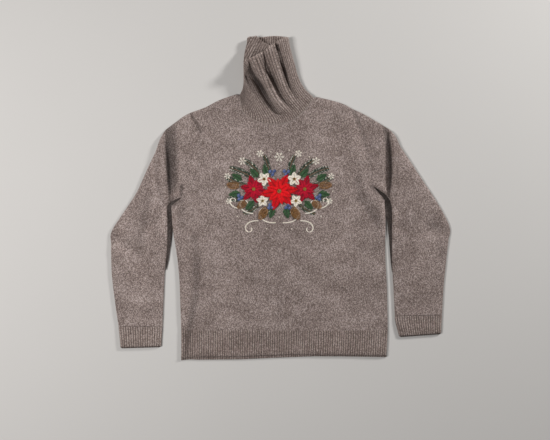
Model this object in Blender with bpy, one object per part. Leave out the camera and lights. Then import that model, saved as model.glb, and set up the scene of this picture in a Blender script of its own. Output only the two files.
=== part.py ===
"""A christmas sweater: a lambswool pullover with a long rib polo neck, laid flat on its back.

+X is to the right of the laid garment as it is looked at, +Y runs from hem to neck, +Z is up off
the surface. The back panel lies on the surface and the front panel lies on the back. Each sleeve
is a flattened tube, folded once where it turns down beside the body. The polo neck is unfolded: a
tube whose back lies on the surface and whose front stands up in slanting folds, with an open mouth.

Sizes below are in millimetres, and the meshes are made in metres. The origin of the tables is the
middle of the chest, and the last step moves everything so that the lowest middle of the whole
garment is at 0, 0, 0.
"""

import math
from collections import namedtuple

import bmesh
import bpy
import numpy as np
from mathutils import Vector
from mathutils.geometry import delaunay_2d_cdt

# ---------------------------------------------------------------- driving sizes

METRE = 0.001  # one millimetre, in metres
WALL = 2.5  # the knitted cloth
SEAM_GAP = 0.3  # between two pieces that are sewn together
NECK_GAP_FRONT = 0.42  # the same at the neck's seams, which bend more
NECK_GAP_BACK = 0.45
NECK_CORNER_GAP = 2.6  # more room at the two hidden ends of the back neck's seam
CROWN = 7.6  # top of the front panel over the surface, where it lies at ease
EDGE = 5.5  # top of the garment at its outer edges: two walls, one on the other
ROLL = 15.0  # how far in from an edge the cloth reaches its full height
NECK_SWELL = 3.2  # the front stands this much higher where the polo neck's folds lift it
NECK_SWELL_REACH = 34.0  # how far from the neckline that fades out
UNEVEN = 0.5  # height of the broad waves in which the front lies
RIB_HEIGHT = 1.1  # knit wales over purl wales
HEM_TOP = -317.0  # y of the line where the hem rib begins
HEM_END = -378.0  # y of the hem's lower edge
HEM_LOWER = 0.5  # the rib's middle lies this much lower than the jersey
HEM_EDGE_ROLL = 1.6  # the hem's edge rolls down this much more sharply than the sides
FRONT_SPACING = 13.0  # between mesh points on the front's outer face
LINING_SPACING = 34.0  # the same on faces that don't show

# ---------------------------------------------------------------- tables, in millimetres

# One row for each section of a sleeve, from the armhole down. The section is a line across the
# flattened tube, from its outer fold to its inner fold. bow: how far the middle of that line
# bends towards +X. tip and middle: height of the upper face near the folds and half way across.
Section = namedtuple("Section", "name outer_x outer_y inner_x inner_y bow tip middle")

SLEEVE_LEFT = (
    Section("armhole", -218, 203, -235, 2, 36, 7.6, 7.6),
    Section("sleeve head", -237, 193, -241, -2, 17, 8.0, 9.5),
    Section("slope", -256, 178, -250, -5, 3, 7.6, 14.0),
    Section("slope's foot", -268, 169, -258, -9, -1, 7.0, 7.5),
    Section("bottom of fold", -276, 162, -264, -12, -2, 6.8, 5.6),
    Section("fold edge", -281, 157, -267, -16, -4, 7.2, 15.5),
    Section("fold back", -288, 140, -269, -22, -2, 7.6, 14.0),
    Section("upper arm", -299, 110, -270, -34, 0, 7.6, 11.0),
    Section("arm", -318, 72, -271, -50, 0, 7.6, 9.0),
    Section("above elbow", -345, 13, -271, -67, 0, 7.6, 7.4),
    Section("by elbow", -376, -35, -271, -82, 0, 7.6, 7.0),
    Section("elbow", -405, -81, -271, -98, 0, 7.6, 8.6),
    Section("below elbow", -405, -112, -272, -122, 0, 7.6, 9.0),
    Section("forearm", -404, -180, -277, -180, 0, 7.6, 8.4),
    Section("low forearm", -396, -250, -280, -248, 0, 7.6, 8.0),
    Section("sleeve end", -388, -308, -283, -309, 0, 7.6, 7.8),
)

SLEEVE_RIGHT = (
    Section("armhole", 179, 210, 221, 29, 9, 7.6, 7.6),
    Section("sleeve head", 200, 200, 234, 21, 8, 7.8, 9.0),
    Section("soft fold", 224, 186, 244, 14, 2, 7.6, 7.0),
    Section("slope", 240, 176, 252, 9, 1, 7.6, 13.0),
    Section("bottom of fold", 261, 164, 262, -2, 1, 6.8, 5.6),
    Section("fold edge", 267, 160, 265, -12, 3, 7.2, 14.5),
    Section("fold back", 274, 151, 265.5, -24, 3, 7.6, 13.0),
    Section("upper arm", 287, 124, 266, -37, 0, 7.6, 10.5),
    Section("arm", 308, 92, 266.5, -50, 0, 7.6, 8.6),
    Section("above elbow", 346, 34, 267, -64, 0, 7.6, 7.6),
    Section("by elbow", 378, -15, 267, -78, 0, 7.6, 8.4),
    Section("elbow", 408, -68, 267, -94, 0, 7.6, 7.2),
    Section("below elbow", 403, -102, 267, -118, 0, 7.6, 8.8),
    Section("forearm", 397, -152, 268, -165, 0, 7.6, 8.4),
    Section("low forearm", 391, -212, 271, -220, 0, 7.6, 8.0),
    Section("sleeve end", 387, -281, 274, -283, 0, 7.6, 7.8),
)

# Cuffs, in the same columns, a little in from the sleeve's end and flaring to their open edge.
CUFF_LEFT = (
    Section("cuff top", -388, -308.3, -283, -309.3, 0, 7.4, 7.6),
    Section("cuff middle", -385.5, -336, -284.5, -335, 0, 7.4, 7.8),
    Section("cuff edge", -384, -358, -285.5, -355, 0, 7.0, 7.6),
)
CUFF_RIGHT = (
    Section("cuff top", 387, -281.3, 274, -283.3, 0, 7.4, 7.6),
    Section("cuff middle", 386, -305, 278.5, -310, 0, 7.4, 7.8),
    Section("cuff edge", 385.5, -324, 284, -331, 0, 7.0, 7.6),
)

# The body's outline, in points that a smooth line passes through.
Point = namedtuple("Point", "x y")
SIDE_LEFT = (
    Point(-238, -378), Point(-238, -317), Point(-240, -257), Point(-242, -202), Point(-246, -154),
    Point(-251, -120), Point(-258, -77), Point(-262, -19),
)
SIDE_RIGHT = (
    Point(254, -378), Point(257, -317), Point(256, -257), Point(255, -211), Point(252, -154),
    Point(251, -110), Point(252, -60), Point(250, -4),
)
SHOULDER_LEFT = (Point(-217, 204), Point(-181, 217), Point(-150, 233), Point(-126, 242), Point(-101, 250))
SHOULDER_RIGHT = (Point(178, 210), Point(150, 225), Point(121, 234), Point(95, 240), Point(84, 244))

# The hem's lower edge hangs a little lower at the left side than at the middle.
HEM_EDGE = (
    Point(-238, -386), Point(-217, -382), Point(-97, -381), Point(23, -376), Point(150, -377),
    Point(254, -379),
)

# Soft creases of the front panel: a trough (below 0) or a ridge from one end to the other.
Crease = namedtuple("Crease", "name x0 y0 x1 y1 half_width height")
FRONT_CREASES = (
    Crease("long trough, left", -196, -70, -222, -375, 17, -1.9),
    Crease("trough at left underarm", -235, 6, -236, -66, 9, -1.6),
    Crease("trough at right underarm", 192, 26, 236, -56, 17, -2.0),
    Crease("armhole seam, right", 183, 205, 219, 100, 10, -1.6),
    Crease("armhole seam, left", -217, 200, -190, 160, 9, -1.7),
    Crease("slanting trough", 0, -66, 84, -115, 20, -0.7),
    Crease("upright trough", 0, -160, -4, -306, 18, -0.7),
    Crease("chest ridge, left", -120, 150, -160, -40, 60, 0.9),
    Crease("chest ridge, right", 130, 160, 110, -30, 60, 0.8),
    Crease("low ridge, left", -120, -150, -135, -330, 50, 0.7),
    Crease("low ridge, right", 130, -130, 120, -330, 50, 0.8),
)

# The polo neck. Its front is stretched between the neckline, two side folds and the front rim;
# its back between the back neck, the same side folds and the back rim.
NECKLINE_FRONT = (
    Point(-97, 247), Point(-91, 210), Point(-76, 195), Point(-54, 183), Point(-25, 178),
    Point(4, 178), Point(23, 184), Point(42, 196), Point(60, 214), Point(80, 240),
)
NECKLINE_BACK = (Point(-97, 247), Point(-60, 256), Point(-8, 260), Point(45, 254), Point(80, 240))
FOLD_LEFT = (Point(-97, 247), Point(-90, 266), Point(-88, 292), Point(-88, 317))
FOLD_RIGHT = (Point(80, 240), Point(58, 262), Point(43, 290), Point(33, 326), Point(25, 355), Point(19, 384))
RIM_FRONT = (
    Point(-88, 317), Point(-76, 327), Point(-44, 346), Point(-30, 355), Point(-18, 365),
    Point(-6, 373), Point(19, 384),
)
RIM_BACK = (
    Point(-88, 317), Point(-85, 345), Point(-80, 368), Point(-76, 383), Point(-44, 385),
    Point(-13, 387), Point(19, 384),
)

# How the ribs lean: a rib that starts at this part of the neckline ends at that part of the rim.
# 0 to 1 runs over the front from left to right, 1 to 2 back over the back from right to left.
Lean = namedtuple("Lean", "neckline rim")
RIB_LEAN = (
    Lean(0.0, -0.50), Lean(0.30, -0.28), Lean(0.45, -0.08), Lean(0.60, 0.15), Lean(0.70, 0.41),
    Lean(0.78, 0.62), Lean(0.88, 0.85), Lean(0.95, 0.95), Lean(1.0, 1.0), Lean(2.0, 1.50),
)

# Folds of the polo neck's front, each along the ribs that start at this part of the neckline.
# low, middle and rim: its height near the neckline, half way up and at the rim.
NeckFold = namedtuple("NeckFold", "name at half_width low middle rim")
NECK_FOLDS = (
    NeckFold("left lap", 0.28, 0.08, 3, 5, 0),
    NeckFold("deep hollow", 0.45, 0.070, -11, -19, -8),
    NeckFold("first ridge", 0.59, 0.055, 10, 18, 18),
    NeckFold("second hollow", 0.70, 0.038, -7, -14, -5),
    NeckFold("second ridge", 0.785, 0.035, 3, 9, 9),
    NeckFold("third hollow", 0.865, 0.028, -2, -15, -10),
    NeckFold("right ridge", 0.94, 0.04, 2, 3, 0),
)
LEAN_STARTS = 0.09  # the ribs run straight up from the neckline for this part of the neck's height
NECK_ROWS = 16
NECK_BACK_STEPS = 16
NECK_INNER_STEPS = 44
NECK_HEIGHTS = (10.0, 15.0, 20.0, 23.0)  # of the front between folds, from neckline to rim
NECK_RIM_LIFT = 29.0  # how far the left end of the front rim stands off the surface
NECK_LAP = 9.0  # height of the back's left part where it laps over the rest inside the mouth


# ---------------------------------------------------------------- curves and fields


def smooth_line(points, count):
    """count points, evenly spaced, on a smooth line through the rows' first two columns."""
    p = np.array([(q.x, q.y) for q in points], float)
    p = np.vstack([2 * p[0] - p[1], p, 2 * p[-1] - p[-2]])
    fine = []
    for i in range(1, len(p) - 2):
        for t in np.linspace(0, 1, 16, endpoint=False):
            fine.append(spline(p[i - 1], p[i], p[i + 1], p[i + 2], t))
    fine = np.array(fine + [p[-2]])
    return resampled(fine, count)


def spline(a, b, c, d, t):
    """Catmull-Rom: a smooth step from b to c."""
    return 0.5 * (2 * b + (c - a) * t + (2 * a - 5 * b + 4 * c - d) * t**2 + (3 * b - a - 3 * c + d) * t**3)


def resampled(line, count):
    steps = np.linalg.norm(np.diff(line, axis=0), axis=1)
    along = np.concatenate([[0], np.cumsum(steps)])
    at = np.linspace(0, along[-1], count)
    return np.column_stack([np.interp(at, along, line[:, k]) for k in range(line.shape[1])])


def moved_sideways(line, distance, more_at_ends=0.0):
    """The line moved to its left by distance, and by more at its two ends."""
    run = np.gradient(line, axis=0)
    run /= np.linalg.norm(run, axis=1)[:, None]
    from_end = np.minimum(np.linalg.norm(line - line[0], axis=1), np.linalg.norm(line - line[-1], axis=1))
    moved = distance + more_at_ends * np.exp(-((from_end / 9) ** 2))
    return line + moved[:, None] * np.column_stack([-run[:, 1], run[:, 0]])


def distance_to(xy, line):
    """Distance of each point of xy to a line of points."""
    a, b = line[:-1], line[1:]
    ab = b - a
    t = np.clip(((xy[:, None] - a) * ab).sum(2) / (ab * ab).sum(1), 0, 1)
    return np.linalg.norm(xy[:, None] - (a + t[:, :, None] * ab), axis=2).min(axis=1)


def rolled(distance):
    """0 at an edge, 1 from ROLL inwards, rounded like the side of a folded cloth."""
    s = np.clip(distance / ROLL, 0, 1)
    return np.sqrt(1 - (1 - s) ** 2)


def crease_height(xy, creases):
    total = np.zeros(len(xy))
    for crease in creases:
        start, end = np.array([crease.x0, crease.y0]), np.array([crease.x1, crease.y1])
        run = end - start
        t = ((xy - start) @ run) / (run @ run)
        nearest = start + np.clip(t, 0, 1)[:, None] * run
        away = np.linalg.norm(xy - nearest, axis=1)
        total += crease.height * np.exp(-((away / crease.half_width) ** 2))
    return total


def section_points(section, across):
    """The points of a sleeve's section at the parts `across` of its width."""
    outer = np.array([section.outer_x, section.outer_y])
    inner = np.array([section.inner_x, section.inner_y])
    line = outer + across[:, None] * (inner - outer)
    line[:, 0] += section.bow * 4 * across * (1 - across)
    return line


ARMHOLE_STEPS = 24
across_armhole = np.linspace(0, 1, ARMHOLE_STEPS + 1)
armhole_left = section_points(SLEEVE_LEFT[0], across_armhole)
armhole_right = section_points(SLEEVE_RIGHT[0], across_armhole)
side_left = smooth_line(SIDE_LEFT, 24)
side_right = smooth_line(SIDE_RIGHT, 24)
shoulder_left = smooth_line(SHOULDER_LEFT, 14)
shoulder_right = smooth_line(SHOULDER_RIGHT, 12)
neck_front = smooth_line(NECKLINE_FRONT, 33)
neck_back = smooth_line(NECKLINE_BACK, NECK_BACK_STEPS + 1)

# The edges at which the front rolls down to the surface, run on over the sleeves' folds.
free_edges = (
    side_left,
    side_right,
    np.vstack([section_points(s, np.zeros(1)) for s in SLEEVE_LEFT[3::-1]] + [shoulder_left]),
    np.vstack([section_points(s, np.zeros(1)) for s in SLEEVE_RIGHT[3::-1]] + [shoulder_right]),
)


def front_height(xy):
    """Height of the front's outer face: full at ease, lower at free edges, raised by the neck."""
    edge = np.min([distance_to(xy, line) for line in free_edges], axis=0)
    hem = xy[:, 1] - HEM_END
    edge = np.minimum(edge, hem)
    neck = distance_to(xy, neck_front)
    height = EDGE + (CROWN - EDGE + crease_height(xy, FRONT_CREASES)) * rolled(edge)
    height += NECK_SWELL * np.exp(-((neck / NECK_SWELL_REACH) ** 2)) * rolled(edge)
    height += UNEVEN * np.sin(xy[:, 0] / 47 + xy[:, 1] / 90) * np.cos(xy[:, 1] / 61) * rolled(edge)
    return np.maximum(height, EDGE)


# ---------------------------------------------------------------- making meshes


def new_object(name, points, faces, material):
    """A mesh object from millimetre points, with its faces turned outwards."""
    mesh = bpy.data.meshes.new(name)
    mesh.from_pydata([Vector(p) * METRE for p in points], [], [tuple(map(int, f)) for f in faces])
    form = bmesh.new()
    form.from_mesh(mesh)
    bmesh.ops.recalc_face_normals(form, faces=form.faces)
    if form.calc_volume(signed=True) < 0:
        bmesh.ops.reverse_faces(form, faces=form.faces)
    form.to_mesh(mesh)
    form.free()
    mesh.shade_smooth()
    mesh.set_sharp_from_angle(angle=math.radians(50))
    mesh.materials.append(material)
    thing = bpy.data.objects.new(name, mesh)
    sweater.objects.link(thing)
    return thing


def face_net(outline, spacing):
    """Points inside a closed outline and the triangles between them, its own points first."""
    low, high = outline.min(axis=0), outline.max(axis=0)
    xs = np.arange(low[0], high[0], spacing)
    ys = np.arange(low[1], high[1], spacing * 0.87)
    grid = np.array([(x + (row % 2) * spacing / 2, y) for row, y in enumerate(ys) for x in xs])
    closed = np.vstack([outline, outline[:1]])
    grid = grid[inside(grid, outline) & (distance_to(grid, closed) > spacing * 0.55)]
    points = [Vector(p) for p in np.vstack([outline, grid])]
    count = len(outline)
    found = delaunay_2d_cdt(points, [], [list(range(count))], 1, 1e-5)
    net, faces = np.array([tuple(p) for p in found[0]]), found[2]
    return net, faces


def inside(xy, outline):
    a, b = outline, np.roll(outline, -1, axis=0)
    crosses = (a[:, 1] > xy[:, None, 1]) != (b[:, 1] > xy[:, None, 1])
    with np.errstate(divide="ignore", invalid="ignore"):
        at = a[:, 0] + (xy[:, None, 1] - a[:, 1]) / (b[:, 1] - a[:, 1]) * (b[:, 0] - a[:, 0])
    return (crosses & (xy[:, None, 0] < at)).sum(axis=1) % 2 == 1


def laid_panel(name, outline, upper, lower, upper_spacing, lower_spacing, material):
    """A panel: an upper face, a lower face and the cloth's edge between them."""
    top, top_faces = face_net(outline, upper_spacing)
    base, base_faces = face_net(outline, lower_spacing)
    points = np.vstack([np.column_stack([top, upper(top)]), np.column_stack([base, lower(base)])])
    shift, rim = len(top), len(outline)
    faces = [tuple(f) for f in top_faces] + [tuple(i + shift for i in f) for f in base_faces]
    faces += [(i, (i + 1) % rim, (i + 1) % rim + shift, i + shift) for i in range(rim)]
    return new_object(name, points, faces, material)


def tube(name, rings_out, rings_in, material):
    """An open tube of cloth: outer rings, inner rings, and the cloth's edge at both ends."""
    rows, count = rings_out.shape[:2]
    points = np.vstack([rings_out.reshape(-1, 3), rings_in.reshape(-1, 3)])
    shift = rows * count
    faces = []
    for layer in (0, shift):
        for row in range(rows - 1):
            for i in range(count):
                j = (i + 1) % count
                a, b = layer + row * count, layer + (row + 1) * count
                faces.append((a + i, a + j, b + j, b + i))
    for row in (0, rows - 1):
        for i in range(count):
            j = (i + 1) % count
            faces.append((row * count + i, row * count + j, shift + row * count + j, shift + row * count + i))
    return new_object(name, points, faces, material)


def wool(name, colour, roughness):
    """A plain knitted-wool material in the part's colour."""
    material = bpy.data.materials.new(name)
    material.use_nodes = True
    shader = material.node_tree.nodes["Principled BSDF"]
    shader.inputs["Base Color"].default_value = (*colour, 1)
    shader.inputs["Roughness"].default_value = roughness
    return material


# ---------------------------------------------------------------- a clear scene

for old in list(bpy.data.objects):
    bpy.data.objects.remove(old, do_unlink=True)
sweater = bpy.data.collections.new("christmas_sweater")
bpy.context.scene.collection.children.link(sweater)
JERSEY = wool("marled lambswool jersey", (0.225, 0.175, 0.152), 0.95)
RIB = wool("marled lambswool rib", (0.19, 0.147, 0.128), 0.95)


# ---------------------------------------------------------------- back and front

armhole_left_body = moved_sideways(armhole_left, SEAM_GAP)  # runs from shoulder to underarm
armhole_right_body = moved_sideways(armhole_right, -SEAM_GAP)


def hem_y(x):
    return np.interp(x, [p.x for p in HEM_EDGE], [p.y for p in HEM_EDGE])


def side_x(line, y):
    order = np.argsort(line[:, 1])
    return np.interp(y, line[order, 1], line[order, 0])


def upper_side(line):
    return line[line[:, 1] > HEM_TOP + 1]


def body_outline(neckline):
    across = np.linspace(side_x(side_left, HEM_TOP), side_x(side_right, HEM_TOP), 16)
    hem = np.array([(x, HEM_TOP) for x in across])
    return np.vstack(
        [
            hem,
            upper_side(side_right),
            armhole_right_body[::-1],
            shoulder_right[1:-1],
            neckline[::-1],
            shoulder_left[1:-1][::-1],
            armhole_left_body,
            upper_side(side_left)[::-1],
        ]
    )


def front_underside(xy):
    return np.maximum(front_height(xy) - WALL, EDGE - WALL)


laid_panel(
    "front",
    body_outline(moved_sideways(neck_front, -NECK_GAP_FRONT)),
    front_height,
    front_underside,
    FRONT_SPACING,
    LINING_SPACING,
    JERSEY,
)
laid_panel(
    "back",
    body_outline(moved_sideways(neck_back, -NECK_GAP_BACK, -NECK_CORNER_GAP)),
    lambda xy: np.full(len(xy), WALL),
    lambda xy: np.zeros(len(xy)),
    4 * LINING_SPACING,
    4 * LINING_SPACING,
    JERSEY,
)


# ---------------------------------------------------------------- hem rib

HEM_RIBS = 90


def slab(name, upper, lower, material):
    """A closed piece of cloth between two nets of points with the same rows and columns."""
    rows, columns = upper.shape[:2]
    shift = rows * columns
    points = np.vstack([upper.reshape(-1, 3), lower.reshape(-1, 3)])
    faces = []
    for layer in (0, shift):
        for r in range(rows - 1):
            for c in range(columns - 1):
                i = layer + r * columns + c
                faces.append((i, i + 1, i + columns + 1, i + columns))
    rim = [c for c in range(columns)]
    rim += [r * columns + columns - 1 for r in range(1, rows)]
    rim += [(rows - 1) * columns + c for c in range(columns - 2, -1, -1)]
    rim += [r * columns for r in range(rows - 2, 0, -1)]
    faces += [(a, b, b + shift, a + shift) for a, b in zip(rim, rim[1:] + rim[:1])]
    return new_object(name, points, faces, material)


def hem_net(columns, row_parts, extra):
    """Points of the hem rib in plan: rows from the body's lower edge to the hem's edge."""
    net = []
    for part in row_parts:
        row = []
        for i in range(columns):
            along = i / (columns - 1)
            end = hem_y(HEM_EDGE[0].x + along * (HEM_EDGE[-1].x - HEM_EDGE[0].x)) - extra
            y = (HEM_TOP - SEAM_GAP) * (1 - part) + end * part
            row.append((side_x(side_left, y) * (1 - along) + side_x(side_right, y) * along, y))
        net.append(row)
    return np.array(net, float)


def hem_height(net):
    flat = net.reshape(-1, 2)
    edge = np.minimum(distance_to(flat, side_left), distance_to(flat, side_right))
    edge = np.minimum(edge, (flat[:, 1] - hem_y(flat[:, 0])) * HEM_EDGE_ROLL)
    height = EDGE + (CROWN - EDGE - HEM_LOWER + crease_height(flat, FRONT_CREASES)) * rolled(edge)
    return np.maximum(height, EDGE).reshape(net.shape[:2])


hem = hem_net(2 * HEM_RIBS + 1, (0, 0.78, 1), 0)
knit_wales = np.arange(2 * HEM_RIBS + 1) % 2
hem_top = np.dstack([hem, hem_height(hem) + RIB_HEIGHT * (knit_wales - 0.5)])
hem_base = np.dstack([hem, np.maximum(hem_height(hem) - WALL, EDGE - WALL)])
slab("hem_rib_front", hem_top, hem_base, RIB)

HEM_BACK_SHOWS = 3.0  # the back's rib shows below the front's by this much
hem = hem_net(13, (0, 1), HEM_BACK_SHOWS)
hem_top = np.dstack([hem, np.full(hem.shape[:2], WALL)])
hem_base = np.dstack([hem, np.zeros(hem.shape[:2])])
slab("hem_rib_back", hem_top, hem_base, RIB)


# ---------------------------------------------------------------- sleeves and cuffs

LONGEST_STEP = 60.0  # between rings of a sleeve
HOLLOW = 3.8  # the most air between a sleeve's two walls, more is taken up by folded cloth
FOLD_IN = (0, 1.5, 4.0, 8.5, 15.0)  # points this far in from a side fold
UNDER_IN = 2.0  # the flat underside begins this far in from a side fold
UNDER_STEPS = 8


def with_steps_between(table):
    """The table's sections, with more between those that are far apart."""
    rows = []
    values = np.array([s[1:] for s in table], float)
    padded = np.vstack([2 * values[0] - values[1], values, 2 * values[-1] - values[-2]])
    for i in range(1, len(padded) - 2):
        length = np.linalg.norm(padded[i + 1][:2] - padded[i][:2])
        steps = max(1, math.ceil(length / LONGEST_STEP))
        for k in range(steps):
            rows.append(spline(padded[i - 1], padded[i], padded[i + 1], padded[i + 2], k / steps))
    rows.append(values[-1])
    return [Section("", *row) for row in rows]


def sleeve_ring(section, middle_steps, ribbed):
    """Outer and inner points round one flattened section: over the top, then back underneath."""
    width = math.hypot(section.inner_x - section.outer_x, section.inner_y - section.outer_y)
    if ribbed:
        over = np.linspace(0, width, middle_steps + 1)
    else:
        sides = np.array(FOLD_IN)
        between = np.linspace(sides[-1], width - sides[-1], middle_steps + 1)[1:-1]
        over = np.concatenate([sides, between, (width - sides)[::-1]])
    under = np.linspace(width - UNDER_IN, UNDER_IN, UNDER_STEPS + 1)

    def from_fold(d):
        return np.minimum(d, width - d)

    def top(d):
        part = np.clip(d / width, 0, 1)
        crown = section.tip + (section.middle - section.tip) * np.sin(math.pi * part) ** 0.8
        return EDGE / 2 + (crown - EDGE / 2) * rolled(from_fold(d))

    outer = np.column_stack([section_points(section, over / width), top(over)])
    if ribbed:
        outer[1:-1:2, 2] += RIB_HEIGHT * rolled(from_fold(over[1:-1:2]))
    below = np.column_stack([section_points(section, under / width), np.zeros(len(under))])

    def moved_in(d):
        """The same place on the inner face, a wall's thickness in from the side folds."""
        fold = from_fold(d)
        shift = np.where(fold < ROLL, WALL * (1 - fold / ROLL), 0)
        return d + np.where(d < width / 2, shift, -shift)

    over_in, under_in = moved_in(over), moved_in(under)
    ceiling = np.clip(top(over_in) - WALL - 0.05, WALL + 0.35, WALL + HOLLOW)
    inner = np.column_stack([section_points(section, over_in / width), ceiling])
    floor = np.column_stack([section_points(section, under_in / width), np.full(len(under), WALL)])
    return np.vstack([outer, below]), np.vstack([inner, floor])


def sleeve_tube(name, table, middle_steps, ribbed, material):
    rings = [sleeve_ring(section, middle_steps, ribbed) for section in with_steps_between(table)]
    outer = np.array([ring[0] for ring in rings])
    inner = np.array([ring[1] for ring in rings])
    return tube(name, outer, inner, material)


CUFF_RIBS = 20
sleeve_tube("sleeve_left", SLEEVE_LEFT, 11, False, JERSEY)
sleeve_tube("sleeve_right", SLEEVE_RIGHT, 11, False, JERSEY)
sleeve_tube("cuff_left", CUFF_LEFT, 2 * CUFF_RIBS, True, RIB)
sleeve_tube("cuff_right", CUFF_RIGHT, 2 * CUFF_RIBS, True, RIB)


# ---------------------------------------------------------------- polo neck

FRONT_RIBS = 32  # on the front; the back's rest flat on the surface and aren't raised
NECK_WALL = 2.4
NECK_FOLD_ROLL = 11.0
FINE = 200  # steps on each of the lines that the neck is stretched between


def at_part(line, part):
    grid = np.linspace(0, 1, len(line))
    return np.column_stack([np.interp(part, grid, line[:, k]) for k in range(2)])


def stretched(u, t, low, high, left, right):
    """A sheet stretched between four lines, at parts u of its width and t of its height."""
    u, t = u[:, None], np.full((len(u), 1), t)
    low_u, high_u = at_part(low, u[:, 0]), at_part(high, u[:, 0])
    left_t, right_t = at_part(left, t[:, 0]), at_part(right, t[:, 0])
    corners = (1 - u) * (1 - t) * low[0] + u * (1 - t) * low[-1] + (1 - u) * t * high[0] + u * t * high[-1]
    return (1 - t) * low_u + t * high_u + (1 - u) * left_t + u * right_t - corners


def eased(value, low, high):
    s = np.clip((value - low) / (high - low), 0, 1)
    return s * s * (3 - 2 * s)


low_front = smooth_line(NECKLINE_FRONT, FINE)
low_back = smooth_line(NECKLINE_BACK, FINE)
high_front = smooth_line(RIM_FRONT, FINE)
high_back = smooth_line(RIM_BACK, FINE)
fold_left = smooth_line(FOLD_LEFT, FINE)
fold_right = smooth_line(FOLD_RIGHT, FINE)
rib_start = np.linspace(0, 1, 2 * FRONT_RIBS + 1)  # knit and purl wales in turn, at the neckline
rib_end = np.interp(rib_start, [row.neckline for row in RIB_LEAN], [row.rim for row in RIB_LEAN])


def rib_places(t):
    """Where each wale is at this height, as a part of the front's width. Below 0 it is behind."""
    lean = np.clip((t - LEAN_STARTS) / (1 - LEAN_STARTS), 0, 1) ** 1.2
    return rib_start + (rib_end - rib_start) * lean


def neck_width(t):
    part = np.array([t])
    return float(np.linalg.norm(at_part(fold_right, part) - at_part(fold_left, part)))


def front_plan(u, t):
    return stretched(u, t, low_front, high_front, fold_left, fold_right)


def back_plan(u, t):
    return stretched(u, t, low_back, high_back, fold_left, fold_right)


def lift_at(t):
    return NECK_RIM_LIFT * eased(t, 0.35, 1)


def back_height(u, t):
    """Underside of the neck's back: flat, but for the lifted left end and the lap in the mouth."""
    lap = NECK_LAP * eased(t, 0.55, 0.9) * (1 - eased(u, 0.42, 0.50))
    return lift_at(t) * (1 - eased(u, 0, 0.30)) + lap * eased(u, 0, 0.2)


def neck_height(u, t):
    """Outer face of the neck's front: its height at ease and its folds, rolled down at both sides."""
    start = np.interp(u, rib_places(t), rib_start)
    height = np.interp(t, (0, 0.33, 0.66, 1), NECK_HEIGHTS)
    folds = np.zeros(len(u))
    for fold in NECK_FOLDS:
        size = np.interp(t, (0, 0.25, 0.6, 1), (0, fold.low, fold.middle, fold.rim))
        folds += size * np.exp(-(((start - fold.at) / fold.half_width) ** 2))
    side = EDGE / 2 + lift_at(t) * (1 - eased(u, 0, 0.6))
    from_fold = np.minimum(u, 1 - u) * neck_width(t) / NECK_FOLD_ROLL
    roll = np.sqrt(1 - (1 - np.clip(from_fold, 0, 1)) ** 2)
    puffed = side + (np.maximum(height + folds, side + 3) - side) * roll
    free = eased(t, 0, 0.22)
    height = front_height(front_plan(u, t)) * (1 - free) + puffed * free
    return np.maximum(height, back_height(u, t) + 2 * NECK_WALL + 0.9)


def outer_ring(t):
    """The ring's points and, for each, its wale and its place: 0 to 1 in front, to 2 behind."""
    u = rib_places(t)
    shown = (u * neck_width(t) > 2.5) & (np.arange(len(u)) < len(u) - 1)
    wale = np.arange(len(u))[shown] % 2
    u = u[shown]
    spacing = neck_width(t) * np.gradient(u)
    ribs = RIB_HEIGHT * wale * np.clip((spacing - 0.6) / 1.2, 0, 1)
    front = np.column_stack([front_plan(u, t), neck_height(u, t) + ribs])
    behind = np.linspace(1, 0, NECK_BACK_STEPS + 1)[1:-1]
    back = np.column_stack([back_plan(behind, t), back_height(behind, t)])
    ends = front_plan(np.array([0.0, 1.0]), t)
    fold_heights = np.array([EDGE / 2 + lift_at(t), EDGE / 2]) * (t > 0)
    left, right = np.column_stack([ends, fold_heights])
    left_start = float(np.interp(0, rib_places(t), rib_start))
    wales = np.concatenate([[left_start], rib_start[shown], [1], 2 - behind, [2]])
    places = np.concatenate([[0], u, [1], 2 - behind, [2]])
    return np.vstack([[left], front, [right], back]), wales, places


def inner_ring(t):
    """The same on the plain inner face, a wall's thickness in from the outer one."""
    inset = NECK_WALL / neck_width(t)
    u = np.linspace(inset, 1 - inset, NECK_INNER_STEPS + 1)
    floor = back_height(u, t) + NECK_WALL
    slopes = [neck_height(np.clip(u + k * inset, 0, 1), t) for k in (-1, -0.5, 0, 0.5, 1)]
    ceiling = np.maximum(np.min(slopes, axis=0) - NECK_WALL, floor + 0.5)
    plan = front_plan(u, t)
    if t > 0:
        ceiling[[0, -1]] = (ceiling + floor)[[0, -1]] / 2 + 0.3
    else:
        ceiling[[0, -1]] = NECK_WALL + 0.2
        plan[[0, -1]] = (plan[[0, -1]] + back_plan(u[[0, -1]], t)) / 2
    behind = np.linspace(1 - inset, inset, NECK_BACK_STEPS + 1)[1:-1]
    back = np.column_stack([back_plan(behind, t), back_height(behind, t) + NECK_WALL + 0.1])
    places = np.concatenate([u, 2 - behind, [2]])
    return np.vstack([np.column_stack([plan, ceiling]), back]), places, places


def zipped(first, first_places, second, second_places):
    """Triangles between two rings with unlike numbers of points, walking round both together."""
    a, b = [*first, first[0]], [*second, second[0]]
    i = j = 0
    faces = []
    while i < len(first) or j < len(second):
        if j == len(second) or (i < len(first) and first_places[i + 1] <= second_places[j + 1]):
            faces.append((a[i], a[i + 1], b[j]))
            i += 1
        else:
            faces.append((a[i], b[j + 1], b[j]))
            j += 1
    return faces


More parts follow.
